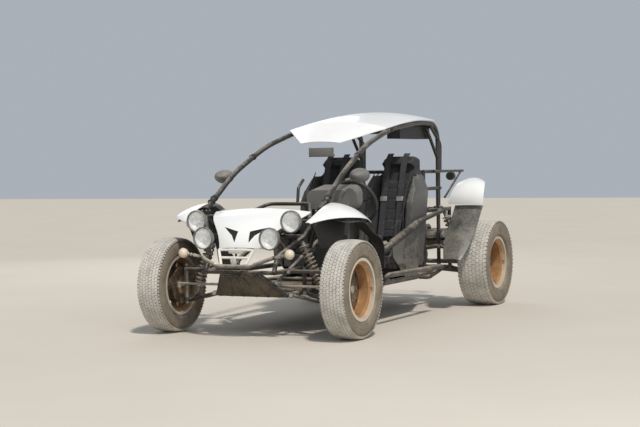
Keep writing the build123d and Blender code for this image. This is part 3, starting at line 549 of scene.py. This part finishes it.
for corner, side, centre, radius, width, rim_width, count, rows in CORNERS:
    hub = Vector((side * centre.x, centre.y, centre.z))
    half = width / 2
    seat = rim_width / 2 - 0.0053
    shoulder = radius - 0.026
    wall = [(-seat, 0.193), (-half + 0.005, 0.205), (-half + 0.001, 0.228), (-half + 0.003, shoulder - 0.016),
            (-half + 0.008, shoulder), (-half + 0.022, radius - 0.011), (-half * 0.5, radius - 0.0075)]
    other_wall = [(-u, r) for u, r in reversed(wall)]
    outline = [(-seat, BEAD), *wall, (0, radius - 0.0065), *other_wall, (seat, BEAD), (-seat, BEAD)]
    carcass = lathe(outline, hub, side * X, Z, 72)
    ribs = [hoop(hub + side * u * X, X, r, 0.0016, 96, 6)
            for u, r in ((half - 0.0015, 0.236), (half - 0.005, 0.209), (half - 0.0035, 0.252))]
    pitch = 2 * pi * radius / count
    blocks = []
    for u, block, offset, slant in rows:
        first = box(hub + side * u * X + (crown(radius, half, u) - 0.0052) * Z,
                    (block, pitch * 0.90, 0.0100), 0, (0, side * atan2(0.010 * u, half * half), side * slant))
        round_edges(first, 0.0012, 1)
        first.data.transform(about(hub, X, 2 * pi * offset / count))
        blocks += ring_of(first, count, hub, X)
    for end in (-1, 1):
        lug = box(hub + side * end * (half - 0.0125) * X + (radius - 0.0175) * Z,
                  (0.010, pitch * 0.62, 0.018), 0, (0, side * end * 0.75, 0))
        round_edges(lug, 0.0015, 1)
        blocks += ring_of(lug, count, hub, X)
    finish_piece(f"tread_{corner}", [carcass, *ribs, *blocks], f"wheel_{corner}", "tyre", TYRE,
                 hides=(f"tyre_{corner}",), smooth=0.5)

# Wheel nuts, centre caps and valves
DISC_INSET, DISC_WALL = 0.034, 0.006
for corner, side, centre, _, _, rim_width, _, _ in CORNERS:
    hub = Vector((side * centre.x, centre.y, centre.z))
    out = side * X
    first_nut = hub + out * (DISC_WALL - DISC_INSET) + 0.040 * Z
    nut = hex_bolt(first_nut, out, 0.0085, 0.010)
    stud = drum(first_nut, first_nut + out * 0.018, 0.0045, 10)
    nuts = [twin for piece in (*nut, stud) for twin in ring_of(piece, 4, hub, X)]
    cap = lathe([(0.004, 0.0), (0.004, 0.016), (0.002, 0.0205), (-0.004, 0.022), (-0.012, 0.022)],
                hub + out * 0.004, out, Z, 24)
    valve = drum(hub + out * (rim_width / 2 - 0.024) + 0.170 * Y,
                 hub + out * (rim_width / 2 - 0.002) + 0.160 * Y, 0.004, 10)
    finish_piece(f"nuts_{corner}", [*nuts, cap, valve], f"wheel_{corner}", "rim_steel", BOLT)

# Coil springs: one wire each between two collars, on a threaded damper sleeve
# Columns: top and bottom eye
STRUTS = {"front": (at(0.316, -0.032, 0.5917), at(0.446, 0.0, 0.2553)),
          "rear": (at(0.310, 2.350, 0.6717), at(0.470, 2.350, 0.2719))}
COILS, COIL_RADIUS, WIRE = 10, 0.0283, 0.0055
COLLAR = [(0.0, 0.0155), (0.0, 0.0315), (0.002, 0.0335), (0.006, 0.0335), (0.008, 0.0315), (0.008, 0.0155)]
wires, sleeves, collars = [], [], []
for top, bottom in STRUTS.values():
    for side in (1, -1):
        high_eye, low_eye = (Vector((side * p.x, p.y, p.z)) for p in (top, bottom))
        run = high_eye - low_eye
        along = run.normalized()
        across = along.orthogonal().normalized()
        third = along.cross(across)
        first, last = 0.062, run.length - 0.040
        steps = COILS * 20
        points = []
        for k in range(steps + 1):
            angle = 2 * pi * COILS * k / steps
            points.append(low_eye + along * (first + (last - first) * k / steps)
                          + (across * cos(angle) + third * sin(angle)) * COIL_RADIUS)
        wires.append(hose(points, WIRE, False, 3))
        for place in (first - 0.009, last + 0.001):
            collars.append(lathe([(place + u, r) for u, r in COLLAR], low_eye, along, across, 32))
        threads = [(0.040 + 0.003 * k, 0.0178 + 0.0012 * (k % 2)) for k in range(60)]
        sleeves.append(lathe([(0.040, 0.0152), *threads, (0.217, 0.0152)], low_eye, along, across, 24))
        for eye in (high_eye, low_eye):
            for end in (-1, 1):
                sleeves += hex_bolt(eye + 0.015 * end * Y, end * Y, 0.0085, 0.007)
finish_piece("spring_wires", wires, "vehicle", "spring_steel", SPRING, hides=("coil_springs",))
finish_piece("spring_collars", collars, "vehicle", "bare_aluminium", ALUMINIUM)
finish_piece("damper_sleeves", sleeves, "vehicle", "dull_steel", STEEL, smooth=0.5)

# Lamps: a bright bowl, a bulb and its cap behind the clear lens, and a rolled bezel in front. The bowl's
# half-metallic white and the plain white bulb and cap are partly painted reflection, standing for the glare in
# the lamp's centre
LAMPS = [(0.326, -0.197, 0.712), (0.227, -0.287, 0.613)]
# Outlines: distance behind the lens, radius
BOWL = [(0.0095, 0.0612), (0.014, 0.0604), (0.024, 0.0555), (0.036, 0.0470), (0.048, 0.0365), (0.058, 0.0240),
        (0.064, 0.0120), (0.0655, 0.0)]
BULB_SHIELD = [(0.0260, 0.0), (0.0260, 0.0095), (0.0285, 0.0110), (0.0300, 0.0105), (0.0300, 0.0)]
BEZEL_RIM = [(-0.0045, 0.0600), (-0.0085, 0.0615), (-0.0095, 0.0645), (-0.0075, 0.0668), (0.0100, 0.0684),
             (0.0150, 0.0676), (0.0150, 0.0672), (-0.0042, 0.0668), (-0.0042, 0.0622), (-0.0045, 0.0600)]
bowls, bulbs, bezels, screws = [], [], [], []
for x, behind, z in LAMPS:
    for side in (1, -1):
        centre = at(x, behind, z, side)
        bowls.append(lathe(BOWL + [(u + 0.0012, r) for u, r in reversed(BOWL)], centre, Y, Z, 48))
        bowls.append(lathe(BULB_SHIELD, centre, Y, Z, 24))
        for spin in range(3):
            arm = Vector((sin(2.1 * spin), 0, cos(2.1 * spin)))
            bowls.append(drum(centre + 0.028 * Y + arm * 0.009, centre + 0.050 * Y + arm * 0.0335, 0.0009, 8))
        bulbs.append(ball(centre + 0.042 * Y, 0.0065, (1, 1.7, 1)))
        bulbs.append(drum(centre + 0.050 * Y, centre + 0.065 * Y, 0.0085, 20, 0.001))
        bezels.append(lathe(BEZEL_RIM, centre, Y, Z, 64))
        for spin in range(3):
            arm = Vector((sin(2.1 * spin + 1), 0, cos(2.1 * spin + 1)))
            middle = centre + 0.004 * Y
            screws.append(drum(middle + arm * 0.0680, middle + arm * 0.0700, 0.0028, 12, 0.0004))
        screws += hex_bolt(centre + 0.0785 * Y, Y, 0.0115, 0.008)
# Reflector and bulbs: real silvered and bulb parts, whose pale white is partly painted reflection
finish_piece("lamp_bowls", bowls, "vehicle", "bare_aluminium", REFLECTOR)
finish_piece("lamp_bulbs", bulbs, "vehicle", "clear_glass", DIAL)
finish_piece("lamp_bezels", bezels, "vehicle", "grey_plastic", BEZEL)
finish_piece("lamp_screws", screws, "vehicle", "dull_steel", BOLT)

# Turn signals: a seam round each lens, and a collar, three nuts and a sleeve on its stalk
rings = []
for side in (1, -1):
    lens, foot = at(0.365, -0.291, 0.523, side), at(0.234, -0.262, 0.497, side)
    along = (lens - foot).normalized()
    rings.append(hoop(lens, (0, 1, 0.1), 0.0300, 0.0014, 48, 8))
    rings.append(drum(lens - along * 0.036, lens - along * 0.0285, 0.0125, 20, 0.001))
    for place in (0.046, 0.066, 0.096):
        rings.append(drum(lens - along * place, lens - along * (place + 0.009), 0.0115, 6, 0.0008))
    rings.append(drum(lens - along * 0.094, lens - along * 0.066, 0.0092, 16))
finish_piece("signal_rings", rings, "vehicle", "dull_steel", BOLT)

# Grille guard: two small bolted plates at the middle
plates = [box(at(0, -0.2985, 0.534), (0.088, 0.003, 0.020), 0.001, (0.25, 0, 0)),
          box(at(0, -0.3165, 0.4740), (0.040, 0.003, 0.046), 0.001, (0.25, 0, 0))]
for x, behind, z in ((-0.030, -0.3005, 0.534), (0.030, -0.3005, 0.534), (0, -0.3190, 0.488),
                     (0, -0.3185, 0.460)):
    plates += hex_bolt(at(x, behind, z), 0.1 * Z - Y, 0.0045, 0.003)
finish_piece("guard_plates", plates, "vehicle", "dull_steel", PALE_STEEL)

# Gills: black sheets just inside the nose, painted shade for the shadowed inside behind each gill; their
# corners lie a little outside each gill
GILL_BACKING = 0.0065
GILL = [(0.168, 0.681), (0.034, 0.659), (0.042, 0.574), (0.085, 0.624)]
nose = nodes["nose_panel"]
sheets = []
for side in (1, -1):
    corners = []
    for x, z in GILL:
        hit, place, _, _ = nose.ray_cast(Vector((side * x, -2.0, z)), Y)
        corners.append(place + GILL_BACKING * Y if hit else at(x, -0.140, z, side))
    sheet = bpy.data.meshes.new("gill")
    sheet.from_pydata(corners, [], [(0, 1, 2, 3)])
    item = bpy.data.objects.new("gill", sheet)
    bpy.context.collection.objects.link(item)
    sheets.append(modify(item, "SOLIDIFY", thickness=0.0012, offset=0.0))
finish_piece("gill_shade_sheet", sheets, "vehicle", "black_plastic", SHADE_BLACK)

# Frame bolts: on the flanges, the arms' pivots and the front ball joints
# Columns: x, distance behind the front axle, height, spread in x, spread in y
FLANGES = [(0.402, 0.046, 0.7683, 0.016, 0.020), (0.310, 1.930, 0.7243, 0.020, 0.020),
           (0.310, 2.215, 0.7243, 0.020, 0.020)]
# Columns: x, distance behind the front axle, height
ARM_PIVOTS = [(0.2675, -0.105, 0.408), (0.2675, 0.105, 0.408), (0.2675, -0.075, 0.262), (0.2675, 0.110, 0.262),
              (0.3413, 2.180, 0.262), (0.3413, 2.380, 0.262), (0.3413, 2.150, 0.430), (0.3413, 2.285, 0.430)]
bolts = []
for side in (1, -1):
    for x, behind, top, wide, long in FLANGES:
        for dx in (-wide, wide):
            for dy in (-long, long):
                bolts += hex_bolt(at(x, behind, top, side) + dx * X + dy * Y, Z, 0.0048, 0.005)
    for x, behind, z in ARM_PIVOTS:
        for end in (-1, 1):
            bolts += hex_bolt(at(x, behind, z, side) + 0.018 * end * Y, end * Y, 0.0095, 0.007)
    bolts += hex_bolt(at(0.522, 0, 0.4206, side), Z, 0.0115, 0.010)
    bolts += hex_bolt(at(0.522, 0, 0.1955, side), -Z, 0.0115, 0.008)
finish_piece("frame_bolts", bolts, "vehicle", "dull_steel", BOLT, smooth=0.5)

# Skid plate: ribs, and bolts along its edges
run = at(0, -0.095, 0.262) - at(0, -0.250, 0.408)
out = run.cross(X).normalized()
down = run.normalized()
base = at(0, -0.250, 0.408) + out * 0.0193
ribs = []
for x in (-0.075, -0.025, 0.025, 0.075):
    ribs.append(hose([base + down * 0.030 + x * X, base + down * 0.185 + 1.5 * x * X], 0.0045, False, 3))
for x, low_part in ((0.105, 0.012), (0.055, 0.012), (0, 0.012), (0.205, 0.200), (0.125, 0.200), (0.045, 0.200)):
    for side in (1, -1) if x else (1,):
        ribs += hex_bolt(base + out * 0.004 + down * low_part + side * x * X, out, 0.0055, 0.004)
finish_piece("skid_ribs", ribs, "vehicle", "dull_steel", PLATE, smooth=0.5)

# Foam sleeves on the side rails, drawn in by straps
PARTS = 7
sleeves, straps = [], []
for side in (1, -1):
    rear_end, front_end = at(0.470, 1.480, 0.650, side), at(0.498, 0.845, 0.505, side)
    run = front_end - rear_end
    along = run.normalized()
    shape = [(0.060, 0.0172), (0.062, 0.0235), (0.070, 0.0262)]
    for k in range(PARTS):
        start = 0.075 + k * (run.length - 0.150) / PARTS
        end = start + (run.length - 0.150) / PARTS
        shape += [(start + 0.002, 0.0238), (start + 0.010, 0.0264), ((start + end) / 2, 0.0272),
                  (end - 0.010, 0.0264), (end - 0.002, 0.0238)]
        straps.append(hoop(rear_end + along * start, along, 0.0240, 0.0016, 32, 6))
    shape += [(run.length - 0.070, 0.0262), (run.length - 0.062, 0.0235), (run.length - 0.060, 0.0172)]
    sleeves.append(lathe(shape, rear_end, along, Z, 32))
finish_piece("rail_sleeves", sleeves, "vehicle", "seat_cloth", PADDING)
finish_piece("sleeve_straps", straps, "vehicle", "black_plastic", BLACK_PLASTIC)

# Clamps round the front pillars and roof rails
CLAMP = [(-0.009, 0.0168), (-0.009, 0.0200), (-0.007, 0.0212), (0.007, 0.0212), (0.009, 0.0200),
         (0.009, 0.0168)]
clamps = []
for side in (1, -1):
    foot, knee = at(0.403, 0.055, 0.779, side), at(0.396, 0.400, 1.000, side)
    brow, crest = at(0.374, 0.800, 1.175, side), at(0.352, 1.250, 1.285, side)
    for start, end, share in ((foot, knee, 0.20), (foot, knee, 0.30), (knee, brow, 0.60), (brow, crest, 0.94)):
        middle = start + (end - start) * share
        clamps.append(lathe(CLAMP, middle, end - start, X, 32))
        clamps.append(box(middle + side * 0.024 * X, (0.012, 0.012, 0.012), 0.0015))
        clamps += hex_bolt(middle + side * 0.024 * X + 0.006 * Z, Z, 0.004, 0.004)
finish_piece("cage_clamps", clamps, "vehicle", "black_plastic", BLACK_PLASTIC, smooth=0.5)

# Mirrors: glass in a raised lip, outside and overhead
glasses, lips = [], []
for side in (1, -1):
    glasses.append(ball(at(0.490, 0.4522, 0.978, side), 1, (0.0560, 0.0012, 0.0385)))
    lip = hoop((0, 0, 0), Y, 0.060, 0.0022, 64, 8)
    lip.data.transform(Matrix.Translation(at(0.490, 0.4520, 0.978, side)) @ Matrix.Diagonal((1, 1, 0.70, 1)))
    lips.append(lip)
    lips.append(ball(at(0.470, 0.415, 0.965, side), 0.013))
glasses.append(box(at(0.020, 0.8655, 1.130), (0.154, 0.0014, 0.046), 0.0004))
lips.append(box(at(0.020, 0.8350, 1.130), (0.166, 0.010, 0.056), 0.004))
finish_piece("mirror_glasses", glasses, "vehicle", "bare_aluminium", MIRROR)
finish_piece("mirror_lips", lips, "vehicle", "grey_plastic", GREY_PLASTIC)

# Dash: two round gauges and a row of switches
GAUGE_RADIUS = 0.036
GAUGE_RIM = [(0.0, 0.041), (0.006, 0.040), (0.007, 0.037), (0.004, GAUGE_RADIUS), (0.0004, GAUGE_RADIUS)]
dials, needles, gauge_rims = [], [], []
for x in (0.225, 0.305):
    middle = at(x, 0.6200, 0.844)
    gauge_rims.append(lathe(GAUGE_RIM, middle, Y, Z, 48))
    dials.append(drum(middle + 0.0002 * Y, middle + 0.0018 * Y, GAUGE_RADIUS, 48))
    for tick in range(25):
        angle = radians(-130 + tick * 260 / 24)
        length = 0.007 if tick % 4 == 0 else 0.004
        radial = Vector((-sin(angle), 0, cos(angle)))
        tick_end = middle + radial * (GAUGE_RADIUS - 0.002) + 0.0022 * Y
        needles.append(drum(tick_end, tick_end - radial * length, 0.0006, 4))
    aim = Vector((0.8, 0, -0.6))
    pin = middle + 0.0030 * Y
    needles.append(drum(pin - aim * 0.006, pin + aim * 0.028, 0.0009, 6))
    needles.append(drum(middle, middle + 0.005 * Y, 0.0035, 16, 0.0008))
for k in range(5):
    needles.append(box(at(0.185 + 0.040 * k, 0.6235, 0.784), (0.020, 0.007, 0.012), 0.0015, (0.25, 0, 0)))
finish_piece("dash_dials", dials, "vehicle", "grey_plastic", DIAL)
finish_piece("dash_needles", needles, "vehicle", "black_plastic", BLACK_PLASTIC)
finish_piece("dash_rims", gauge_rims, "vehicle", "dull_steel", CHROME)

# Steering wheel: a padded boss with six screws
hub = at(0.245, 0.905, 0.800)
pole = Vector((0.08527, 0.89754, 0.43261))
across = pole.orthogonal().normalized()
boss = lathe([(-0.030, 0.0262), (-0.030, 0.0400), (-0.024, 0.0460), (0.004, 0.0440), (0.010, 0.0360),
              (0.012, 0.0)], hub, pole, across, 40)
finish_piece("wheel_boss", [boss], "steering_wheel", "black_grip", GRIP)
bolt = hex_bolt(hub + across * 0.030 + pole * 0.0095, pole, 0.0040, 0.003)
wheel_screws = [twin for part in bolt for twin in ring_of(part, 6, hub, pole)]
finish_piece("wheel_screws", wheel_screws, "steering_wheel", "dull_steel", BOLT, smooth=0.5)

# Pedal pads, and the gear lever's gaiter
pads = []
for x in (0.170, 0.250, 0.330):
    pads.append(box(at(x, 0.4700, 0.415), (0.046, 0.010, 0.070), 0.003, (-0.25, 0, 0)))
    for k in range(5):
        pads.append(box(at(x, 0.4755, 0.390 + 0.0125 * k), (0.040, 0.004, 0.004), 0.001, (-0.25, 0, 0)))
for k in range(5):
    pads.append(hoop(at(0.0, 1.020 - 0.0022 * k, 0.283 + 0.008 * k), (0, -0.07, 1), 0.034 - 0.005 * k, 0.005,
                     32, 8))
finish_piece("pedal_pads", pads, "vehicle", "black_plastic", BLACK_PLASTIC, smooth=0.5)

# Brake calipers
for name, side in (("left", 1), ("right", -1)):
    caliper = [box(at(0.5605, 0.1050, 0.322, side), (0.056, 0.046, 0.060), 0.005),
               box(at(0.5745, 0.0860, 0.322, side), (0.014, 0.066, 0.052), 0.003)]
    for dz in (-0.017, 0.017):
        caliper += hex_bolt(at(0.5325, 0.1050, 0.322 + dz, side), -side * X, 0.0065, 0.005)
    finish_piece(f"caliper_{name}", caliper, f"knuckle_{name}", "cast_engine", ENGINE, smooth=0.5)
rear_calipers = []
for side in (1, -1):
    rear_calipers.append(box(at(0.5855, 2.3850, 0.335, side), (0.050, 0.044, 0.060), 0.005))
    rear_calipers.append(box(at(0.5600, 2.3550, 0.335, side), (0.012, 0.080, 0.046), 0.003))
finish_piece("rear_calipers", rear_calipers, "vehicle", "cast_engine", ENGINE, smooth=0.5)

# Engine: fan grille, case bolts, plug and filter band
trim, dark_trim = [], []
fan = at(-0.205, 2.060, 0.368)
fan_face = fan - 0.002 * X
for reach in (0.030, 0.050, 0.070, 0.084):
    dark_trim.append(hoop(fan_face, X, reach, 0.0022, 48, 6))
spoke = drum(fan_face + 0.012 * Z, fan_face + 0.084 * Z, 0.0020, 6)
dark_trim += ring_of(spoke, 12, fan, X)
for k in range(14):
    angle = 2 * pi * k / 14
    y = 0.075 * cos(angle) * (2.0 if abs(cos(angle)) > 0.3 else 1.2)
    trim += hex_bolt(at(0.2150, 2.080, 0.368) + 0.92 * y * Y + 0.067 * sin(angle) * Z, X, 0.0048, 0.004)
for x in (-0.1420, -0.2420):
    trim.append(hoop(at(x, 2.020, 0.530), X, 0.0535, 0.0022, 48, 6))
for k in range(16):
    angle = 2 * pi * k / 16
    arm = Vector((0, 0.0535 * cos(angle), 0.0535 * sin(angle)))
    dark_trim.append(drum(at(-0.146, 2.020, 0.530) + arm, at(-0.238, 2.020, 0.530) + arm, 0.0016, 6))
trim.append(drum(at(-0.030, 1.998, 0.575), at(-0.030, 1.975, 0.578), 0.008, 6, 0.0008))
dark_trim.append(drum(at(-0.030, 1.975, 0.578), at(-0.030, 1.945, 0.582), 0.009, 16, 0.002))
for dx in (-0.045, 0.045):
    for dy in (-0.045, 0.045):
        trim += hex_bolt(at(-0.030 + dx, 2.060 + dy, 0.5955), Z, 0.0055, 0.0045)
finish_piece("engine_bolts", trim, "vehicle", "dull_steel", BOLT, smooth=0.5)
finish_piece("engine_grille", dark_trim, "vehicle", "black_plastic", BLACK_PLASTIC, smooth=0.5)

# Silencer: rolled end seams, straps and an open tail tip
SILENCER_BEHIND, SILENCER_HEIGHT = 2.5293, 0.470
TIP_RIM = [(-0.030, 0.0203), (-0.030, 0.0225), (0.0, 0.0225), (0.0, 0.0180), (-0.004, 0.0180), (-0.004, 0.0203)]
seams = []
for x in (-0.247, 0.247):
    seams.append(hoop(at(x, SILENCER_BEHIND, SILENCER_HEIGHT), X, 0.0755, 0.0030, 64, 8))
for x in (-0.130, 0.150):
    seams.append(lathe([(-0.011, 0.0762), (-0.011, 0.0782), (0.011, 0.0782), (0.011, 0.0762)],
                       at(x, SILENCER_BEHIND, SILENCER_HEIGHT), X, Z, 64))
    seams.append(box(at(x, SILENCER_BEHIND - 0.040, 0.5420), (0.022, 0.030, 0.004), 0.001, (0.5, 0, 0)))
tip = at(-0.200, SILENCER_BEHIND + 0.110, SILENCER_HEIGHT)
seams.append(lathe(TIP_RIM, tip, Y, Z, 32))
finish_piece("silencer_seams", seams, "vehicle", "dull_steel", STEEL, smooth=0.5)
# A near-black disc just inside the tip: painted shade for the pipe's hollow
tip_inside = drum(tip - 0.004 * Y, tip + 0.0004 * Y, 0.0176, 32)
finish_piece("tail_tip_dark", [tip_inside], "vehicle", "black_plastic", SHADE_BLACK)

# Tail lamps: red lenses with raised rings, on the rear faces of their housings
TAIL_LENS = [(0.0, 0.0), (-0.001, 0.0292), (-0.0005, 0.0296), (0.0004, 0.0290), (0.0010, 0.0200), (0.0012, 0.0)]
lenses, rims = [], []
for side in (1, -1):
    face = at(0.250, 2.6530, 0.9447, side)
    lenses.append(lathe(TAIL_LENS, face, Y, Z, 48))
    for reach in (0.0305, 0.020, 0.010):
        rims.append(hoop(face, Y, reach, 0.0012, 48, 8))
finish_piece("tail_lenses", lenses, "vehicle", "red_lens", RED_LENS)
finish_piece("tail_rims", rims, "vehicle", "dull_steel", CHROME)

# Seats: one soft bucket and two pads, swelled as cloth once and copied across
SEAT_X, SEAT_BACK = 0.235, 1.790


def swell(item, voxel, shrink, cap, pressure=4.0):
    """Remeshes a closed form, lets it swell as cloth, and holds each point within the cap."""
    modify(item, "REMESH", mode="VOXEL", voxel_size=voxel, use_smooth_shade=True)
    modify(item, "SMOOTH", factor=0.5, iterations=6)
    modify(item, "DISPLACE", strength=-shrink, mid_level=0.0)
    start = [vertex.co.copy() for vertex in item.data.vertices]
    cloth = item.modifiers.new("cloth", "CLOTH")
    cloth.settings.use_pressure, cloth.settings.uniform_pressure_force = True, pressure
    cloth.settings.effector_weights.gravity = 0.0
    cloth.settings.quality = 4
    scene = bpy.context.scene
    for frame_number in range(1, 21):
        scene.frame_set(frame_number)
    bpy.ops.object.modifier_apply(modifier=cloth.name)
    scene.frame_set(1)
    for vertex, home in zip(item.data.vertices, start):
        move = vertex.co - home
        if move.length > cap:
            vertex.co = home + move * (cap / move.length)
    return modify(item, "SMOOTH", factor=0.5, iterations=2)


def sewn(item, origin, along, across, lines, edge, depth=0.0045, width=0.0045):
    """Draws channels into the pad, straight ones across it and one along its border, and subdivides it."""
    half_length, half_width = edge
    for vertex in item.data.vertices:
        offset = vertex.co - origin
        s, t = offset.dot(along), offset.dot(across)
        near = min([abs(s - line) for line in lines if abs(t) < half_width] or [1.0])
        if abs(s) < half_length:
            near = min(near, abs(abs(t) - half_width))
        if abs(t) < half_width:
            near = min(near, abs(abs(s) - half_length))
        if near < 3 * width:
            vertex.co -= vertex.normal * depth * 2.718 ** (-(near / width) ** 2)
    modify(item, "SUBSURF", levels=1, render_levels=1)


def across_car(item, name):
    """A copy of a piece of the left seat, for the right one."""
    twin = item.copy()
    twin.data = item.data.copy()
    twin.data.transform(Matrix.Translation((-2 * SEAT_X, 0, 0)))
    bpy.context.collection.objects.link(twin)
    twin.name = twin.data.name = name
    return twin


seat = nodes["seat_left"].copy()
seat.data = nodes["seat_left"].data.copy()
bpy.context.collection.objects.link(seat)
take(seat)
edit()
bpy.ops.mesh.remove_doubles(threshold=0.00001)
bpy.ops.object.mode_set(mode="OBJECT")
swell(seat, 0.008, 0.006, 0.009)
seat.data.materials.clear()
for each in (CLOTH, VINYL):
    seat.data.materials.append(each)
for face in seat.data.polygons:
    middle = face.center - Vector((SEAT_X, FRONT_AXLE, 0))
    face.material_index = 1 if abs(middle.x) > 0.139 and middle.z > 0.34 else 0

cushion_at, cushion_along = at(SEAT_X, SEAT_BACK - 0.475, 0.4330), Vector((0, 0.998, -0.062))
cushion = box(cushion_at, (0.262, 0.330, 0.052), 0.020, (-0.062, 0, 0))
sewn(swell(cushion, 0.006, 0.003, 0.012), cushion_at, cushion_along, X, (-0.070, 0.0, 0.070), (0.140, 0.105))
back_low, back_top = at(SEAT_X, SEAT_BACK - 0.284, 0.500), at(SEAT_X, SEAT_BACK - 0.170, 0.935)
back_along = (back_top - back_low).normalized()
back_at = (back_low + back_top) / 2
back = box(back_at, (0.262, 0.046, 0.470), 0.018, (-atan2(back_along.y, back_along.z), 0, 0))
sewn(swell(back, 0.006, 0.003, 0.012), back_at, back_along, X, (-0.150, -0.075, 0.0, 0.075, 0.150),
     (0.205, 0.105))

# Columns: distance behind the seat's back, height
EDGE = [(-0.660, 0.452), (-0.560, 0.470), (-0.470, 0.4775), (-0.418, 0.500), (-0.400, 0.640), (-0.386, 0.780),
        (-0.300, 0.902), (-0.235, 0.990)]
SHOULDER_STRAP = [(-0.118, 1.118), (-0.160, 1.085), (-0.196, 1.020), (-0.222, 0.940), (-0.262, 0.800),
                  (-0.296, 0.660), (-0.330, 0.540), (-0.365, 0.478)]
piping = []
for side in (1, -1):
    edge = [at(SEAT_X + side * 0.1405, SEAT_BACK + behind, z) for behind, z in EDGE]
    piping.append(hose(edge, 0.0035, True, 3))
seams = finish_piece("seat_piping_left", piping, "vehicle", "seat_cloth", WEBBING)
across_seams = across_car(seams, "seat_piping_right")
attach(across_seams, "vehicle")
for item, name, looks in ((seat, "seat_bucket", ()), (cushion, "seat_cushion", (CLOTH,)),
                          (back, "seat_pad", (CLOTH,))):
    twin = across_car(item, f"{name}_right")
    for piece, label in ((item, "left"), (twin, "right")):
        hides = (f"seat_{label}",) if name == "seat_bucket" else ()
        finish_piece(f"{name}_{label}", [piece], "vehicle", "seat_cloth", *looks, hides=hides,
                               smooth=1.2)

# Harnesses: flat webbing over the back pads and cushions, with buckles
straps, buckles = [], []


def webbing(points, width, across, thick=0.0018):
    """A flat strap along points."""
    item = polyline(points)
    edit()
    bpy.ops.transform.translate(value=tuple(-across * (width / 2)))
    bpy.ops.mesh.extrude_region_move(TRANSFORM_OT_translate={"value": tuple(across * width)})
    bpy.ops.object.mode_set(mode="OBJECT")
    return modify(item, "SOLIDIFY", thickness=thick, offset=0.0)


for middle in (SEAT_X, -SEAT_X):
    for side in (1, -1):
        x = middle + side * 0.062
        shoulder = [at(x, SEAT_BACK + behind, z) for behind, z in SHOULDER_STRAP]
        straps.append(webbing(shoulder, 0.045, X))
        lap = [at(middle + side * (0.135 - 0.105 * k / 5), SEAT_BACK - 0.360 - 0.018 * sin(k * pi / 5),
                  0.505 - 0.030 * k / 5) for k in range(6)]
        straps.append(webbing(lap, 0.045, Vector((0, -0.5, 0.86))))
        buckles.append(box(at(x, SEAT_BACK - 0.2665, 0.800), (0.052, 0.006, 0.034), 0.0015, (-0.25, 0, 0)))
    buckles.append(box(at(middle, SEAT_BACK - 0.384, 0.480), (0.070, 0.060, 0.014), 0.004, (-0.6, 0, 0)))
    buckles.append(drum(at(middle, SEAT_BACK - 0.394, 0.486), at(middle, SEAT_BACK - 0.404, 0.500), 0.022, 24,
                        0.002))
finish_piece("harness_straps", straps, "vehicle", "seat_cloth", WEBBING)
finish_piece("harness_buckles", buckles, "vehicle", "dull_steel", BOLT)

# Stage: a pale floor, soft light and the photograph's camera
deselect()
bpy.ops.mesh.primitive_plane_add(size=60, location=(0, 0, 0))
floor = bpy.context.object
floor.name = "floor"
ground = Surface("pale_floor")
tint = ground.mix(ground.noise(0.8, 3.0), (0.52, 0.47, 0.40), (0.58, 0.53, 0.46))
ground.tree.links.new(tint, ground.shader.inputs["Base Color"])
ground.set(Roughness=0.95)
floor.data.materials.append(ground.material)


def lamp(name, kind, place, aim, energy, size, colour=(1.0, 1.0, 1.0)):
    """A light that looks from its place at its aim; size is the sun's angle or the disc's width."""
    light = bpy.data.lights.new(name, kind)
    light.energy, light.color = energy, colour
    if kind == "SUN":
        light.angle = size
    else:
        light.shape, light.size = "DISK", size
    item = bpy.data.objects.new(name, light)
    bpy.context.collection.objects.link(item)
    item.location = place
    item.rotation_euler = turned(Vector(place) - Vector(aim))


lamp("sun", "SUN", (3.0, -3.0, 6.0), (0, 0, 0), 2.7, 0.08, (1.0, 0.96, 0.90))
lamp("fill", "AREA", (5.0, -6.0, 3.0), (0, 0, 0.6), 120.0, 4.0, (0.92, 0.96, 1.0))
lamp("rim_light", "AREA", (-4.0, 4.5, 3.5), (0, 0, 0.7), 50.0, 4.0)
world = bpy.data.worlds.new("studio")
bpy.context.scene.world = world
world.use_nodes = True
sky = world.node_tree.nodes["Background"].inputs
sky["Color"].default_value = (0.72, 0.78, 0.86, 1.0)
sky["Strength"].default_value = 0.56

AZIMUTH, ELEVATION, ROLL = radians(26.33), radians(1.989), radians(-0.835)
back = Vector((sin(AZIMUTH) * cos(ELEVATION), -cos(AZIMUTH) * cos(ELEVATION), sin(ELEVATION)))
right = (-back).cross(Z).normalized()
up = right.cross(-back)
level_right = cos(ROLL) * right + sin(ROLL) * up
level_up = cos(ROLL) * up - sin(ROLL) * right
view = bpy.data.cameras.new("camera")
view.lens, view.sensor_width = 82.016, 36.0
camera = bpy.data.objects.new("camera", view)
bpy.context.collection.objects.link(camera)
turn = Matrix((level_right, level_up, back)).transposed().to_4x4()
camera.matrix_world = Matrix.Translation((4.32731, -9.04607, 1.05983)) @ turn
bpy.context.scene.camera = camera
bpy.context.scene.view_settings.view_transform = "Standard"
